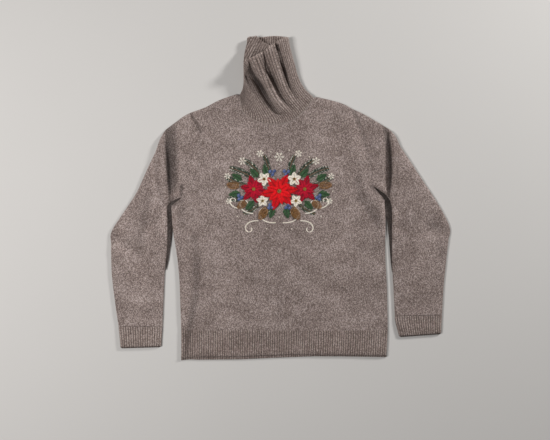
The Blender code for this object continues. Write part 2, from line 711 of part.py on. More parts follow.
points, rings = [], []
for make_ring in (outer_ring, inner_ring):
    for t in np.linspace(0, 1, NECK_ROWS):
        ring, wales, places = make_ring(t)
        rings.append((range(len(points), len(points) + len(ring)), wales, places))
        points.extend(ring)
outer_rings, inner_rings = rings[:NECK_ROWS], rings[NECK_ROWS:]
faces = []
for layer in (outer_rings, inner_rings):
    for (low, low_wales, _), (high, high_wales, _) in zip(layer, layer[1:]):
        faces += zipped(low, low_wales, high, high_wales)
for end in (0, -1):
    outside, _, outside_places = outer_rings[end]
    within, _, within_places = inner_rings[end]
    faces += zipped(outside, outside_places, within, within_places)
new_object("collar", points, faces, RIB)


# ---------------------------------------------------------------- origin at the lowest middle

corners = np.array([v.co for thing in sweater.objects for v in thing.data.vertices])
middle = (corners.min(axis=0) + corners.max(axis=0)) / 2
for thing in sweater.objects:
    for vertex in thing.data.vertices:
        vertex.co -= Vector((middle[0], middle[1], corners[:, 2].min()))
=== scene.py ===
import math
from collections import namedtuple

import bpy
import numpy as np
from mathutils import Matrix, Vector
from mathutils.geometry import delaunay_2d_cdt


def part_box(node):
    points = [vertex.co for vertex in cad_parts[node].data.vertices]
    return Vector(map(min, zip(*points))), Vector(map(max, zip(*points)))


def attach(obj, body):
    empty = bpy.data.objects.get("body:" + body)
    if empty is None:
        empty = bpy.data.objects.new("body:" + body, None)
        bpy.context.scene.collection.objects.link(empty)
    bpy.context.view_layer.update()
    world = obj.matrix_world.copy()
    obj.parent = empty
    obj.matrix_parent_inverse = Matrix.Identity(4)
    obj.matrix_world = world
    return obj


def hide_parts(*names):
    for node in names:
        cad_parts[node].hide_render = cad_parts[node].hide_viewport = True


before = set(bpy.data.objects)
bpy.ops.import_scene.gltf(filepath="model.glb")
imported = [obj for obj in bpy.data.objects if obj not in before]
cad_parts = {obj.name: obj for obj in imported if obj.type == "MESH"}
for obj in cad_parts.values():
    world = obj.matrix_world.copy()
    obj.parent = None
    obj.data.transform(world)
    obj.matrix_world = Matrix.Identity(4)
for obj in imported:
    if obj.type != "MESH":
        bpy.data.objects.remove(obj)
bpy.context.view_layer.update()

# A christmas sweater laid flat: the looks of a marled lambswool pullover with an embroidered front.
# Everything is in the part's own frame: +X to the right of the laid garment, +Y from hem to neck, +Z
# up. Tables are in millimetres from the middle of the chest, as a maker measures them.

bpy.ops.object.select_all(action="DESELECT")


# ------------------------------------------------------------------ surface, camera and light
# The garment lies on a pale, warm-grey painted board in a studio, and is looked at from straight
# above. Two soft boxes light it, the stronger one on the right and beyond the neck.

PIXEL = 2.4  # millimetres of the laid garment in one pixel of the photograph
PHOTO_SIZE = (550, 440)
PHOTO_MIDDLE = (281.1, 198.4)  # where the middle of the garment's outline falls in it
CAMERA_HEIGHT = 2.2


def colour(hex_code):
    """A linear colour from an sRGB hex value."""
    parts = [int(hex_code[i : i + 2], 16) / 255 for i in (1, 3, 5)]
    return (*[p / 12.92 if p <= 0.04045 else ((p + 0.055) / 1.055) ** 2.4 for p in parts], 1)


def feed(made, links):
    """Links a node's inputs. A node that is given as a source is its first output."""
    for key, source in links.items():
        made.id_data.links.new(getattr(source, "outputs", [source])[0], made.inputs[key])


def node(material, kind, settings=None, links=None):
    """Adds a node with its settings, and links its inputs to other nodes."""
    made = material.node_tree.nodes.new("ShaderNode" + kind)
    for key, value in (settings or {}).items():
        if isinstance(key, int) or key in made.inputs:
            made.inputs[key].default_value = value
        else:
            setattr(made, key, value)
    feed(made, links or {})
    return made


def maths(material, operation, *values):
    """A math node. Each of its inputs is a number or another node."""
    numbers = {k: value for k, value in enumerate(values) if isinstance(value, (int, float))}
    links = {k: value for k, value in enumerate(values) if k not in numbers}
    return node(material, "Math", {"operation": operation, **numbers}, links)


def new_material(name, roughness, **shader_values):
    material = bpy.data.materials.new(name)
    material.use_nodes = True
    shader = material.node_tree.nodes["Principled BSDF"]
    shader.inputs["Roughness"].default_value = roughness
    for socket, value in shader_values.items():
        shader.inputs[socket.replace("_", " ")].default_value = value
    return material, shader


# Eggshell-painted board: broad, very faint clouding from the roller, no gloss that reads from here.
board, board_shader = new_material("eggshell painted board", 0.75)
place = node(board, "TexCoord").outputs["Object"]
clouds = node(board, "TexNoise", {"Scale": 2.2, "Detail": 3}, {"Vector": place})
shades = {"data_type": "RGBA", 6: colour("#cbc8c4"), 7: colour("#cfccc8")}
tone = node(board, "Mix", shades, {0: clouds})
grain = node(board, "TexNoise", {"Scale": 900, "Detail": 2}, {"Vector": place})
relief = node(board, "Bump", {"Strength": 0.15, "Distance": 0.0004}, {"Height": grain})
feed(board_shader, {"Base Color": tone.outputs[2], "Normal": relief})

bpy.ops.mesh.primitive_plane_add(size=9, location=(0, 0, -0.0006))
surface = bpy.context.object
surface.name = "surface"
surface.data.materials.append(board)
bpy.ops.object.transform_apply(location=True, rotation=True, scale=True)
bpy.ops.object.select_all(action="DESELECT")

camera_data = bpy.data.cameras.new("camera")
camera = bpy.data.objects.new("camera", camera_data)
bpy.context.scene.collection.objects.link(camera)
camera.location = (
    (PHOTO_SIZE[0] / 2 - PHOTO_MIDDLE[0]) * PIXEL / 1000,
    (PHOTO_MIDDLE[1] - PHOTO_SIZE[1] / 2) * PIXEL / 1000,
    CAMERA_HEIGHT,
)
camera_data.sensor_width = 36
camera_data.lens = 36 * CAMERA_HEIGHT / (PHOTO_SIZE[0] * PIXEL / 1000)
bpy.context.scene.camera = camera

SoftBox = namedtuple("SoftBox", "name x y z width height power tint")
SOFT_BOXES = (
    SoftBox("soft_box_right", 2.0, 1.4, 1.15, 0.4, 0.4, 51, "#ffffff"),
    SoftBox("soft_box_left", -1.5, 0.0, 1.8, 0.8, 0.8, 37, "#fffefe"),
)
for box in SOFT_BOXES:
    light = bpy.data.lights.new(box.name, "AREA")
    light.shape = "RECTANGLE"
    light.size = box.width
    light.size_y = box.height
    light.energy = box.power
    light.color = colour(box.tint)[:3]
    lamp = bpy.data.objects.new(box.name, light)
    bpy.context.scene.collection.objects.link(lamp)
    lamp.location = (box.x, box.y, box.z)
    lamp.rotation_euler = Vector((-box.x, -box.y, -box.z)).to_track_quat("-Z", "Y").to_euler()

world = bpy.data.worlds.new("studio")
world.use_nodes = True
world.node_tree.nodes["Background"].inputs[0].default_value = colour("#fbfcff")
world.node_tree.nodes["Background"].inputs[1].default_value = 0.10
bpy.context.scene.world = world
bpy.context.scene.view_settings.view_transform = "Standard"


# ------------------------------------------------------------------ back panel
# One fully-fashioned panel in plain knit, lying on the board under everything else. Only a hair of
# it shows, beside the body and under the polo neck, but it is the garment's whole underside.

WALL = 2.4  # a jersey of this yarn
STITCH = 2.75  # one wale: half of the rib's repeat
COURSE = 2.05  # one row of stitches
HEM_TOP = -317.0
ROLL = 15.0  # a laid edge rises to full height within this
EDGINGS = (0.9, 2.8)  # a panel's net has two rows of points this far inside its outline
PAINTED_SHADING_LIMITS = (-2.6, 1.0)  # deepest painted shade, in a sharp fold, and strongest painted light, on a crown
SIDE_SEAM_HEIGHT = 2.75  # front and back meet half way up the rounded side

# The frame says where the middle of the chest is, from the left elbow and the hem's lowest edge.
LEFT_ELBOW, LOWEST_HEM = -405, -389
CHEST = np.array([
    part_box("sleeve_left")[0].x * 1000 - LEFT_ELBOW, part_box("hem_rib_back")[0].y * 1000 - LOWEST_HEM, 0,
])

Point = namedtuple("Point", "x y")
SIDE_LEFT = (
    Point(-238, -378), Point(-238, -317), Point(-240, -257), Point(-242, -202), Point(-246, -154),
    Point(-251, -120), Point(-258, -77), Point(-262, -19),
)
SIDE_RIGHT = (
    Point(254, -378), Point(257, -317), Point(256, -257), Point(255, -211), Point(252, -154),
    Point(251, -110), Point(252, -60), Point(250, -4),
)
SHOULDER_LEFT = (Point(-217, 204), Point(-181, 217), Point(-150, 233), Point(-126, 242), Point(-101, 250))
SHOULDER_RIGHT = (Point(178, 210), Point(150, 225), Point(121, 234), Point(95, 240), Point(84, 244))
NECKLINE_FRONT = (
    Point(-97, 247), Point(-91, 210), Point(-76, 195), Point(-54, 183), Point(-25, 178),
    Point(4, 178), Point(23, 184), Point(42, 196), Point(60, 214), Point(80, 240),
)
NECKLINE_BACK = (Point(-97, 247), Point(-60, 256), Point(-8, 260), Point(45, 254), Point(80, 240))
# Under each arm the back is wider than the front. It fills the slit beside the sleeve, and narrows to
# a point down the sleeve's inner fold. That part is painted with the deepest shade.
UNDERARM_LEFT = (
    Point(-256.5, -86), Point(-259.5, -74), Point(-261.5, -96), Point(-264, -120), Point(-267.5, -146),
    Point(-273.5, -172), Point(-275.3, -150), Point(-273, -122), Point(-272.3, -98), Point(-273.5, -60),
    Point(-274, -30), Point(-271, -17), Point(-263, -9.5), Point(-250, -3.5), Point(-240, -0.5),
)
UNDERARM_RIGHT = (
    Point(252, -56), Point(254.5, -46), Point(257.3, -69), Point(260, -96), Point(262, -122),
    Point(264, -150), Point(267.5, -178), Point(269.3, -160), Point(268.3, -120), Point(268.5, -94),
    Point(270, -60), Point(270.5, -30), Point(268, -13), Point(261, -1), Point(252, 9), Point(243, 15.5),
    Point(233, 21.5),
)
SLITS_MIDDLE, SLIT_HALF_LENGTH = Point(-2, -78), 108
SLIT_OUT, ARMPIT_OUT, ARMPIT_Y = 251, 230, -30  # a slit starts this far out, and further in at its top
HEM_EDGE = (
    Point(-238, -386), Point(-217, -382), Point(-97, -381), Point(23, -376), Point(150, -377),
    Point(254, -379),
)

# A sleeve's sections, from armhole to end. The line of a section runs across the flattened tube from
# its outer fold to its inner fold. bow: how far its middle bends towards +X. tip and middle: height
# near the folds and half way across. over: how far the top hangs back over the section above it.
Section = namedtuple("Section", "outer_x outer_y inner_x inner_y bow tip middle over")
ARMHOLE_LEFT = Section(-218, 203, -235, 2, 36, 7.6, 7.6, 0)
ARMHOLE_RIGHT = Section(179, 210, 221, 29, 9, 7.6, 7.6, 0)


def spline(a, b, c, d, t):
    """Catmull-Rom: a smooth step from b to c."""
    return 0.5 * (2 * b + (c - a) * t + (2 * a - 5 * b + 4 * c - d) * t**2 + (3 * b - a - 3 * c + d) * t**3)


def resampled(line, count):
    steps = np.linalg.norm(np.diff(line, axis=0), axis=1)
    along = np.concatenate([[0], np.cumsum(steps)])
    at = np.linspace(0, along[-1], count)
    return np.column_stack([np.interp(at, along, line[:, k]) for k in range(line.shape[1])])


def smooth_line(points, count):
    """count evenly spaced points on a smooth line through the given ones."""
    p = np.array(points, float)
    p = np.vstack([2 * p[0] - p[1], p, 2 * p[-1] - p[-2]])
    fine = [
        spline(p[i - 1], p[i], p[i + 1], p[i + 2], t)
        for i in range(1, len(p) - 2)
        for t in np.linspace(0, 1, 16, endpoint=False)
    ]
    return resampled(np.array([*fine, p[-2]]), count)


def distance_to(xy, line):
    """Distance of each point of xy to a line of points."""
    a, b = line[:-1], line[1:]
    ab = b - a
    best = np.full(len(xy), np.inf)
    for start, run in zip(a, ab):
        t = np.clip(((xy - start) @ run) / (run @ run), 0, 1)
        best = np.minimum(best, np.linalg.norm(xy - (start + t[:, None] * run), axis=1))
    return best


def rolled(distance, reach=ROLL):
    """0 at an edge, 1 from `reach` inwards, rounded like the side of a folded cloth."""
    s = np.clip(distance / reach, 0, 1)
    return np.sqrt(1 - (1 - s) ** 2)


def section_points(section, across):
    outer = np.array([section.outer_x, section.outer_y])
    inner = np.array([section.inner_x, section.inner_y])
    line = outer + across[:, None] * (inner - outer)
    line[:, 0] += section.bow * 4 * across * (1 - across)
    return line


def side_x(line, y):
    order = np.argsort(line[:, 1])
    return np.interp(y, line[order, 1], line[order, 0])


def hem_y(x):
    return np.interp(x, [p.x for p in HEM_EDGE], [p.y for p in HEM_EDGE])


side_left, side_right = smooth_line(SIDE_LEFT, 60), smooth_line(SIDE_RIGHT, 60)
shoulder_left, shoulder_right = smooth_line(SHOULDER_LEFT, 24), smooth_line(SHOULDER_RIGHT, 20)
armhole_left = section_points(ARMHOLE_LEFT, np.linspace(0, 1, 50))
armhole_right = section_points(ARMHOLE_RIGHT, np.linspace(0, 1, 46))
neckline_front, neckline_back = smooth_line(NECKLINE_FRONT, 90), smooth_line(NECKLINE_BACK, 60)


def body_outline(neckline, underarm_left=(), underarm_right=()):
    """The panel's outline, anticlockwise from the left end of the hem rib."""
    hem_ends = side_x(side_left, HEM_TOP), side_x(side_right, HEM_TOP)
    hem = np.array([(x, HEM_TOP) for x in np.linspace(*hem_ends, 90)])
    above = []
    for line, underarm in ((side_left, underarm_left), (side_right, underarm_right)):
        top = underarm[0].y - 4 if underarm else math.inf
        kept = line[(line[:, 1] > HEM_TOP + 2) & (line[:, 1] < top)]
        above.append(np.vstack([kept, [*underarm]]) if underarm else kept)
    parts = [
        hem, above[1], armhole_right[::-1], shoulder_right[1:-1], neckline[::-1],
        shoulder_left[1:-1][::-1], armhole_left, above[0][::-1],
    ]
    return np.vstack(parts)


def inside(xy, outline):
    """Which points lie inside a closed outline: a line to the left of them crosses it an odd number
    of times."""
    a, b = outline, np.roll(outline, -1, axis=0)
    count = np.zeros(len(xy), int)
    for (ax, ay), (bx, by) in zip(a, b):
        if ay == by:
            continue
        crosses = (ay > xy[:, 1]) != (by > xy[:, 1])
        count += crosses & (xy[:, 0] < ax + (xy[:, 1] - ay) / (by - ay) * (bx - ax))
    return count % 2 == 1


def net_inside(outline, spacing):
    """Points inside a closed outline, denser in two lines along it, and the triangles between them."""
    low, high = outline.min(axis=0), outline.max(axis=0)
    rows = np.arange(low[1], high[1], spacing * 0.87)
    columns = np.arange(low[0], high[0], spacing)
    grid = np.array([(x + (k % 2) * spacing / 2, y) for k, y in enumerate(rows) for x in columns])
    closed = np.vstack([outline, outline[:1]])
    run = np.roll(outline, -1, axis=0) - np.roll(outline, 1, axis=0)
    inward = np.column_stack([-run[:, 1], run[:, 0]]) / np.linalg.norm(run, axis=1)[:, None]
    kept = [grid[inside(grid, outline) & (distance_to(grid, closed) > 1.5 * EDGINGS[1])]]
    for distance in EDGINGS:
        line = outline + distance * inward
        kept.append(line[inside(line, outline) & (distance_to(line, closed) > distance * 0.8)])
    points = [Vector(p) for p in np.vstack([outline, *kept])]
    found = delaunay_2d_cdt(points, [], [list(range(len(outline)))], 1, 1e-5)
    return np.array([tuple(p) for p in found[0]]), found[2]


def cloth(name, points, faces, wales, courses, material, wall=WALL, painted_shading=None):
    """A knitted piece from millimetre points. Its UV map is in wales and courses of stitches. The last
    argument is painted shading: below 0 painted shade, in troughs and shade; above 0 painted light."""
    mesh = bpy.data.meshes.new(name)
    placed = (np.asarray(points, float) + CHEST) / 1000
    mesh.from_pydata([tuple(p) for p in placed], [], [tuple(int(i) for i in f) for f in faces])
    stitches = mesh.uv_layers.new(name="stitches")
    corner = np.empty(len(mesh.loops), np.int32)
    mesh.loops.foreach_get("vertex_index", corner)
    uv = np.column_stack([np.asarray(wales)[corner], np.asarray(courses)[corner]])
    stitches.data.foreach_set("uv", uv.astype(np.float32).ravel())
    painted_shading_of_points = mesh.attributes.new("painted_shading", "FLOAT", "POINT")
    painted_shading_of_points.data.foreach_set("value", np.zeros(len(placed)) if painted_shading is None else np.clip(painted_shading, *PAINTED_SHADING_LIMITS))
    mesh.materials.append(material)
    piece = bpy.data.objects.new(name, mesh)
    bpy.context.scene.collection.objects.link(piece)
    if wall:
        bpy.context.view_layer.objects.active = piece
        piece.select_set(True)
        bpy.ops.object.modifier_add(type="SOLIDIFY")
        piece.modifiers[-1].thickness = wall / 1000
        piece.modifiers[-1].offset = -1
        bpy.ops.object.modifier_apply(modifier=piece.modifiers[-1].name)
        piece.select_set(False)
    piece.data.shade_smooth()
    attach(piece, "root")
    return piece


def knitted_wool(name, ribbed, dark, middle, light):
    """Marled lambswool. Each stitch is a V of two plies, one grey-brown and one paler, so the cloth is
    flecked in the size of a stitch. The milled fibres hide the gaps and kill all gloss."""
    wool, shader = new_material(name, 0.95, Sheen_Weight=0.35, Sheen_Roughness=0.6, Specular_IOR_Level=0.15)
    shader.inputs["Sheen Tint"].default_value = colour("#cdbfb6")
    uv = node(wool, "UVMap", {"uv_map": "stitches"})
    split = node(wool, "SeparateXYZ", links={0: uv})
    part = maths(wool, "FRACT", split)
    side = maths(wool, "SUBTRACT", part, 0.5)
    off_middle = maths(wool, "ABSOLUTE", side)
    # The two legs of a stitch rise from its middle, so courses bend into chevrons.
    rise = maths(wool, "MULTIPLY", off_middle, 1.5)
    bent = maths(wool, "SUBTRACT", split.outputs[1], rise)
    along = maths(wool, "FRACT", bent)
    hump = maths(wool, "PINGPONG", along, 0.5)
    leg = maths(wool, "PINGPONG", part, 0.25)
    across_leg = node(wool, "MapRange", {2: 0.25, "interpolation_type": "SMOOTHSTEP"}, {0: leg})
    along_leg = node(wool, "MapRange", {2: 0.45, "interpolation_type": "SMOOTHSTEP"}, {0: hump})
    stitch_height = maths(wool, "MULTIPLY", across_leg, along_leg)
    # One tone for each leg.
    doubled = maths(wool, "MULTIPLY", split, 2.0)
    leg_number = maths(wool, "FLOOR", doubled)
    course_number = maths(wool, "FLOOR", bent)
    leg_id = node(wool, "CombineXYZ", links={0: leg_number, 1: course_number})
    leg_tone = node(wool, "TexWhiteNoise", {"noise_dimensions": "2D"}, {"Vector": leg_id})
    # Slubs of paler and darker fleece, a few stitches long, clouding from the carding, and fibres.
    slubs = node(wool, "TexNoise", {"Scale": 0.75, "Detail": 3, "Roughness": 0.7}, {"Vector": uv})
    carding = node(wool, "TexNoise", {"Scale": 0.045, "Detail": 3, "Roughness": 0.6}, {"Vector": uv})
    fibres = node(wool, "TexNoise", {"Scale": 7.0, "Detail": 4, "Roughness": 0.8}, {"Vector": uv})
    fleece = maths(wool, "MULTIPLY_ADD", leg_tone, 0.55, slubs)
    fleece = maths(wool, "MULTIPLY_ADD", fibres, 0.55, fleece)
    fleece = maths(wool, "MULTIPLY_ADD", carding, 0.5, fleece)
    spread = {1: 0.75, 2: 1.85} if ribbed else {1: 0.85, 2: 1.75}
    marl = node(wool, "ValToRGB", links={0: node(wool, "MapRange", spread, {0: fleece})})
    marl.color_ramp.elements[0].color = colour(dark)
    marl.color_ramp.elements[1].color = colour(light)
    marl.color_ramp.elements.new(0.5).color = colour(middle)
    # Between the stitches, and in a rib's purl wales, the cloth is in its own shade.
    gaps = node(wool, "MapRange", {3: 0.72, 4: 1.0}, {0: stitch_height})
    if ribbed:
        pair = maths(wool, "SUBTRACT", split, 0.25)
        from_purl = maths(wool, "PINGPONG", pair, 1.0)
        depth = {2: 0.75, 3: 0.44, 4: 1.09, "interpolation_type": "SMOOTHSTEP"}
        groove = node(wool, "MapRange", depth, {0: from_purl})
        gaps = maths(wool, "MULTIPLY", gaps, groove)
    # Painted light and shade: the colour is darkened as painted shade in troughs and shaded places, and
    # lightened as painted light on crowns and lit places.
    painted_shading = node(wool, "Attribute", {"attribute_name": "painted_shading"}).outputs["Fac"]
    painted_shading_factor = maths(wool, "MULTIPLY_ADD", painted_shading, 0.30, 1.0)
    darker = maths(wool, "MULTIPLY", gaps, painted_shading_factor)
    mixed = {"data_type": "RGBA", "blend_type": "MULTIPLY", 0: 1.0}
    shaded = node(wool, "Mix", mixed, {6: marl, 7: darker})
    fuzz = maths(wool, "MULTIPLY_ADD", fibres, 0.7, stitch_height)
    relief = node(wool, "Bump", {"Strength": 0.8, "Distance": 0.0006}, {"Height": fuzz})
    feed(shader, {"Base Color": shaded.outputs[2], "Normal": relief})
    return wool


JERSEY = knitted_wool("marled lambswool jersey", False, "#4f413d", "#96857e", "#e2d1cb")

back_net, back_faces = net_inside(body_outline(neckline_back, UNDERARM_LEFT, UNDERARM_RIGHT), 9.0)
# What shows in the slits under the arms is painted with the deepest shade, and the rest of the back, lying
# under everything, a little darker as painted shade.
from_slits = np.abs(back_net - SLITS_MIDDLE)
in_slit = from_slits[:, 0] > np.where(back_net[:, 1] > ARMPIT_Y, ARMPIT_OUT, SLIT_OUT)
in_slit &= from_slits[:, 1] < SLIT_HALF_LENGTH
back = cloth(
    "back_panel", np.column_stack([back_net, np.full(len(back_net), WALL)]), back_faces,
    back_net[:, 0] / STITCH, back_net[:, 1] / COURSE, JERSEY, painted_shading=np.where(in_slit, PAINTED_SHADING_LIMITS[0], -0.4),
)
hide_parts("back")


# ------------------------------------------------------------------ front panel
# The same knit, cut lower at the neck. It lies on the back, so its sides round down to meet it, and
# it holds the soft troughs and ridges of a garment that was patted flat by hand.

CROWN = 7.6  # top of the front where it lies at ease: two walls and the air between them
NECK_SWELL, NECK_SWELL_REACH = 3.2, 34.0  # the polo neck's folds lift the front beside them
THINNEST = 2.6  # how far even a deep trough stays above the side seams
SEAM_FURROW, SEAM_REACH = 0.3, 3.0  # along the armholes
PAINTED_SHADING_STEP = 3.2  # millimetres of trough that deepen the painted shade by one step, and of ridge that add one step of painted light

Crease = namedtuple("Crease", "name x0 y0 x1 y1 half_width height")
BODY_CREASES = (
    Crease("long trough, left", -206, -92, -200, -150, 8, -2.4),
    Crease("long trough, left", -200, -150, -203, -235, 9, -3.4),
    Crease("long trough, left", -203, -235, -214, -293, 9, -3.8),
    Crease("long trough, left", -214, -293, -223, -340, 8, -3.8),
    Crease("long trough, left", -223, -340, -226, -384, 7, -3.6),
    Crease("side ridge, left", -228, -130, -232, -290, 8, 1.4),
    Crease("trough at left underarm", -235, 6, -236, -66, 9, -1.6),
    Crease("under the left flap", -238, -4, -262, -22, 5, -3.6),
    Crease("edge beside the left slot", -254, -28, -252, -90, 7, 3.0),
    Crease("edge beside the right slot", 246, -18, 251, -84, 7, 3.0),
    Crease("trough at right underarm", 185, 42, 191, 6, 12, -3.0),
    Crease("trough at right underarm", 191, 6, 210, -20, 13, -3.2),
    Crease("trough at right underarm", 210, -20, 236, -62, 14, -3.4),
    Crease("slanting trough", 0, -66, 84, -115, 14, -0.9),
    Crease("upright trough", 0, -160, -4, -306, 13, -0.9),
    Crease("chest ridge, left", -120, 150, -160, -40, 60, 0.9),
    Crease("chest ridge, right", 130, 160, 110, -30, 60, 0.8),
    Crease("low ridge, left", -120, -150, -135, -330, 50, 0.7),
    Crease("low ridge, right", 130, -130, 120, -330, 50, 0.8),
    Crease("armhole fold, right", 178, 205, 196, 165, 9, -3.8),
    Crease("armhole fold, right", 196, 165, 212, 108, 9, -3.2),
    Crease("armhole fold, right", 212, 108, 226, 50, 10, -1.8),
    Crease("fold beside the right lens", 226, 158, 246, 84, 6, -3.2),
    Crease("armhole ridge, right", 168, 190, 196, 96, 13, 1.4),
    Crease("pocket at the right underarm", 219, 28, 250, 2, 6, -4.2),
    Crease("pull from right underarm", 222, 36, 150, 4, 13, 0.9),
    Crease("armhole fold, left", -222, 204, -192, 160, 6, -4.2),
    Crease("armhole ridge, left", -203, 196, -178, 150, 12, 1.1),
    Crease("pull from left underarm", -228, 2, -170, -30, 16, 0.8),
    Crease("shoulder trough, left", -160, 214, -112, 186, 16, -0.8),
    Crease("shoulder trough, right", 150, 206, 112, 170, 16, -0.9),
    Crease("side ripple, right, high", 246, -110, 196, -128, 12, -0.7),
    Crease("side ripple, right, low", 244, -226, 188, -236, 15, -0.6),
    Crease("soft dent under the neck", -18, 168, 10, 140, 22, -0.7),
    Crease("waist ripple", -90, -180, -30, -210, 18, -0.6),
    Crease("waist ripple, right", 60, -190, 150, -214, 20, -0.5),
)


def crease_height(xy, creases):
    """Troughs and ridges add up, but where stretches of one crease join, the stronger one counts."""
    found = {}
    for crease in creases:
        start, end = np.array([crease.x0, crease.y0]), np.array([crease.x1, crease.y1])
        run = end - start
        t = ((xy - start) @ run) / (run @ run)
        nearest = start + np.clip(t, 0, 1)[:, None] * run
        away = np.linalg.norm(xy - nearest, axis=1)
        height = crease.height * np.exp(-((away / crease.half_width) ** 2))
        before = found.get(crease.name, np.zeros(len(xy)))
        found[crease.name] = np.where(np.abs(height) > np.abs(before), height, before)
    return sum(found.values(), np.zeros(len(xy)))


# The front rounds down along these: its sides, and its shoulders with a stretch beyond their ends.
free_edges = (
    side_left,
    side_right,
    np.vstack([[(-268, 169)], [(-237, 193)], shoulder_left]),
    np.vstack([[(240, 176)], [(200, 200)], shoulder_right]),
)


def ripples(xy):
    """Small unevenness of a knitted cloth at rest, in millimetres."""
    x, y = xy[:, 0], xy[:, 1]
    return (
        0.5 * np.sin(x / 47 + y / 90) * np.cos(y / 61)
        + 0.22 * np.sin(x / 19 - y / 37 + 1.3) * np.sin(y / 23 + x / 71)
        + 0.10 * np.sin(x / 9.1 + y / 31 + 0.4) * np.cos(y / 12.7 - x / 53)
    )


def body_height(xy):
    """Outer face of the front: full at ease, rounded down at its sides, raised beside the neck."""
    edge = np.min([distance_to(xy, line) for line in free_edges], axis=0)
    full = CROWN - SIDE_SEAM_HEIGHT + crease_height(xy, BODY_CREASES) + ripples(xy)
    full += NECK_SWELL * np.exp(-((distance_to(xy, neckline_front) / NECK_SWELL_REACH) ** 2))
    height = SIDE_SEAM_HEIGHT + np.maximum(full, THINNEST) * rolled(edge)
    seam = np.minimum(distance_to(xy, armhole_left), distance_to(xy, armhole_right))
    return height - SEAM_FURROW * np.exp(-((seam / SEAM_REACH) ** 2))


front_net, front_faces = net_inside(body_outline(neckline_front), 3.6)
# The front's troughs are painted darker as shade and its ridges lighter as painted light.
front = cloth(
    "front_panel", np.column_stack([front_net, body_height(front_net)]), front_faces,
    front_net[:, 0] / STITCH, front_net[:, 1] / COURSE, JERSEY,
    painted_shading=crease_height(front_net, BODY_CREASES) / PAINTED_SHADING_STEP,
)
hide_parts("front")


# ------------------------------------------------------------------ hem rib
# One knit, one purl: the knit wales stand up in close cords and the purl wales sink between them.
# It is knitted on at the lower edge of both panels, and ends in a tubular edge.

RIB_REPEAT = 5.5
RIB_DEPTH = 1.5  # knit wales over purl wales
RIB_POINTS = 8  # mesh points in one repeat
HEM_REPEATS = 90
HEM_FRONT_WALL, HEM_BACK_WALL = 2.0, 1.8
HEM_GAPE = 1.8  # the front's open edge lies this much clear of the back's rib
# The back's rib is painted a little lighter where it shows below the front's edge, in its shade: painted
# light.
HEM_BACK_PAINTED_LIGHT = 0.6
HEM_ROWS = (0, 0.04, 0.15, 0.3, 0.45, 0.6, 0.74, 0.86, 0.95, 1.0)
Shown = namedtuple("Shown", "x below")  # how much of the back's rib shows below the front's
HEM_BACK_SHOWS = (Shown(-238, 3.0), Shown(-200, 6.0), Shown(20, 5.6), Shown(80, 3.0), Shown(254, 2.4))

RIB = knitted_wool("marled lambswool rib", True, "#584843", "#9d8b83", "#ead9d1")


def rib_profile(repeats):
    """0 in a purl wale, 1 on top of a knit wale, with a rounded cord and a narrow groove."""
    wave = 0.5 - 0.5 * np.cos(2 * math.pi * repeats)
    return wave**0.7


def rib_wales(repeats):
    """The material's U: two wales to a repeat, with its grooves in the purl wales."""
    return repeats * 2 + 0.25


def grid_faces(rows, columns, closed=False):
    faces = []
    for r in range(rows - 1):
        for c in range(columns if closed else columns - 1):
            d = (c + 1) % columns
            faces.append((r * columns + c, r * columns + d, (r + 1) * columns + d, (r + 1) * columns + c))
    return faces


def hem_plan(columns, extra):
    """Points of a hem rib in plan, from its open edge up to the body, and each one's repeat."""
    along = np.linspace(0, 1, columns)
    hem_x = HEM_EDGE[0].x + along * (HEM_EDGE[-1].x - HEM_EDGE[0].x)
    plan = []
    for part in HEM_ROWS[::-1]:
        end = hem_y(hem_x) - extra
        y = HEM_TOP * (1 - part) + end * part
        left, right = side_x(side_left, y), side_x(side_right, y)
        # Ribs crowd and spread a little, as they do when a hem is patted flat.
        uneven = 0.0016 * np.sin(along * 37) + 0.0012 * np.sin(along * 91 + 3 * part)
        place = np.clip(along + uneven * np.sin(math.pi * along), 0, 1)
        plan.append(np.column_stack([left + (right - left) * place, y]))
    return np.array(plan)


columns = HEM_REPEATS * RIB_POINTS + 1
repeats = np.tile(np.linspace(0, HEM_REPEATS, columns), len(HEM_ROWS))
plan = hem_plan(columns, 0).reshape(-1, 2)
edge = np.minimum(distance_to(plan, side_left), distance_to(plan, side_right))
above_hem = plan[:, 1] - hem_y(plan[:, 0])
from_hem = np.minimum(edge, above_hem * 1.6)
below_top = np.clip((HEM_TOP - plan[:, 1]) / 5, 0, 1)
open_edge = SIDE_SEAM_HEIGHT + HEM_GAPE * np.exp(-((above_hem / 7) ** 2)) * rolled(edge, 12)
full = CROWN - 0.3 * below_top + crease_height(plan, BODY_CREASES) + ripples(plan)
height = open_edge + (full - open_edge) * rolled(from_hem, 9)
relief = RIB_DEPTH * (rib_profile(repeats) - 0.55) * (0.25 + 0.75 * below_top)
relief *= 0.35 + 0.65 * rolled(from_hem, 5)
# The hem's troughs are painted darker as shade and its ridges lighter as painted light, as on the front.
hem_front = cloth(
    "hem_rib_front_knit", np.column_stack([plan, height + relief]), grid_faces(len(HEM_ROWS), columns),
    rib_wales(repeats), plan[:, 1] / COURSE, RIB, HEM_FRONT_WALL,
    crease_height(plan, BODY_CREASES) / PAINTED_SHADING_STEP,
)
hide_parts("hem_rib_front")

below = np.interp(np.linspace(HEM_EDGE[0].x, HEM_EDGE[-1].x, columns), *np.array(HEM_BACK_SHOWS).T)
plan = hem_plan(columns, below).reshape(-1, 2)
height = WALL - 0.5 + 0.5 * rib_profile(repeats + 0.5)
hem_back = cloth(
    "hem_rib_back_knit", np.column_stack([plan, height]), grid_faces(len(HEM_ROWS), columns),
    rib_wales(repeats), plan[:, 1] / COURSE, RIB, HEM_BACK_WALL, np.full(len(plan), HEM_BACK_PAINTED_LIGHT),
)
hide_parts("hem_rib_back")


# ------------------------------------------------------------------ sleeves
# Each is a panel knitted wider towards the top and closed by an underarm seam into a tube. Laid down
# beside the body, the tube folds once where it leaves the armhole and lies flat from there on.

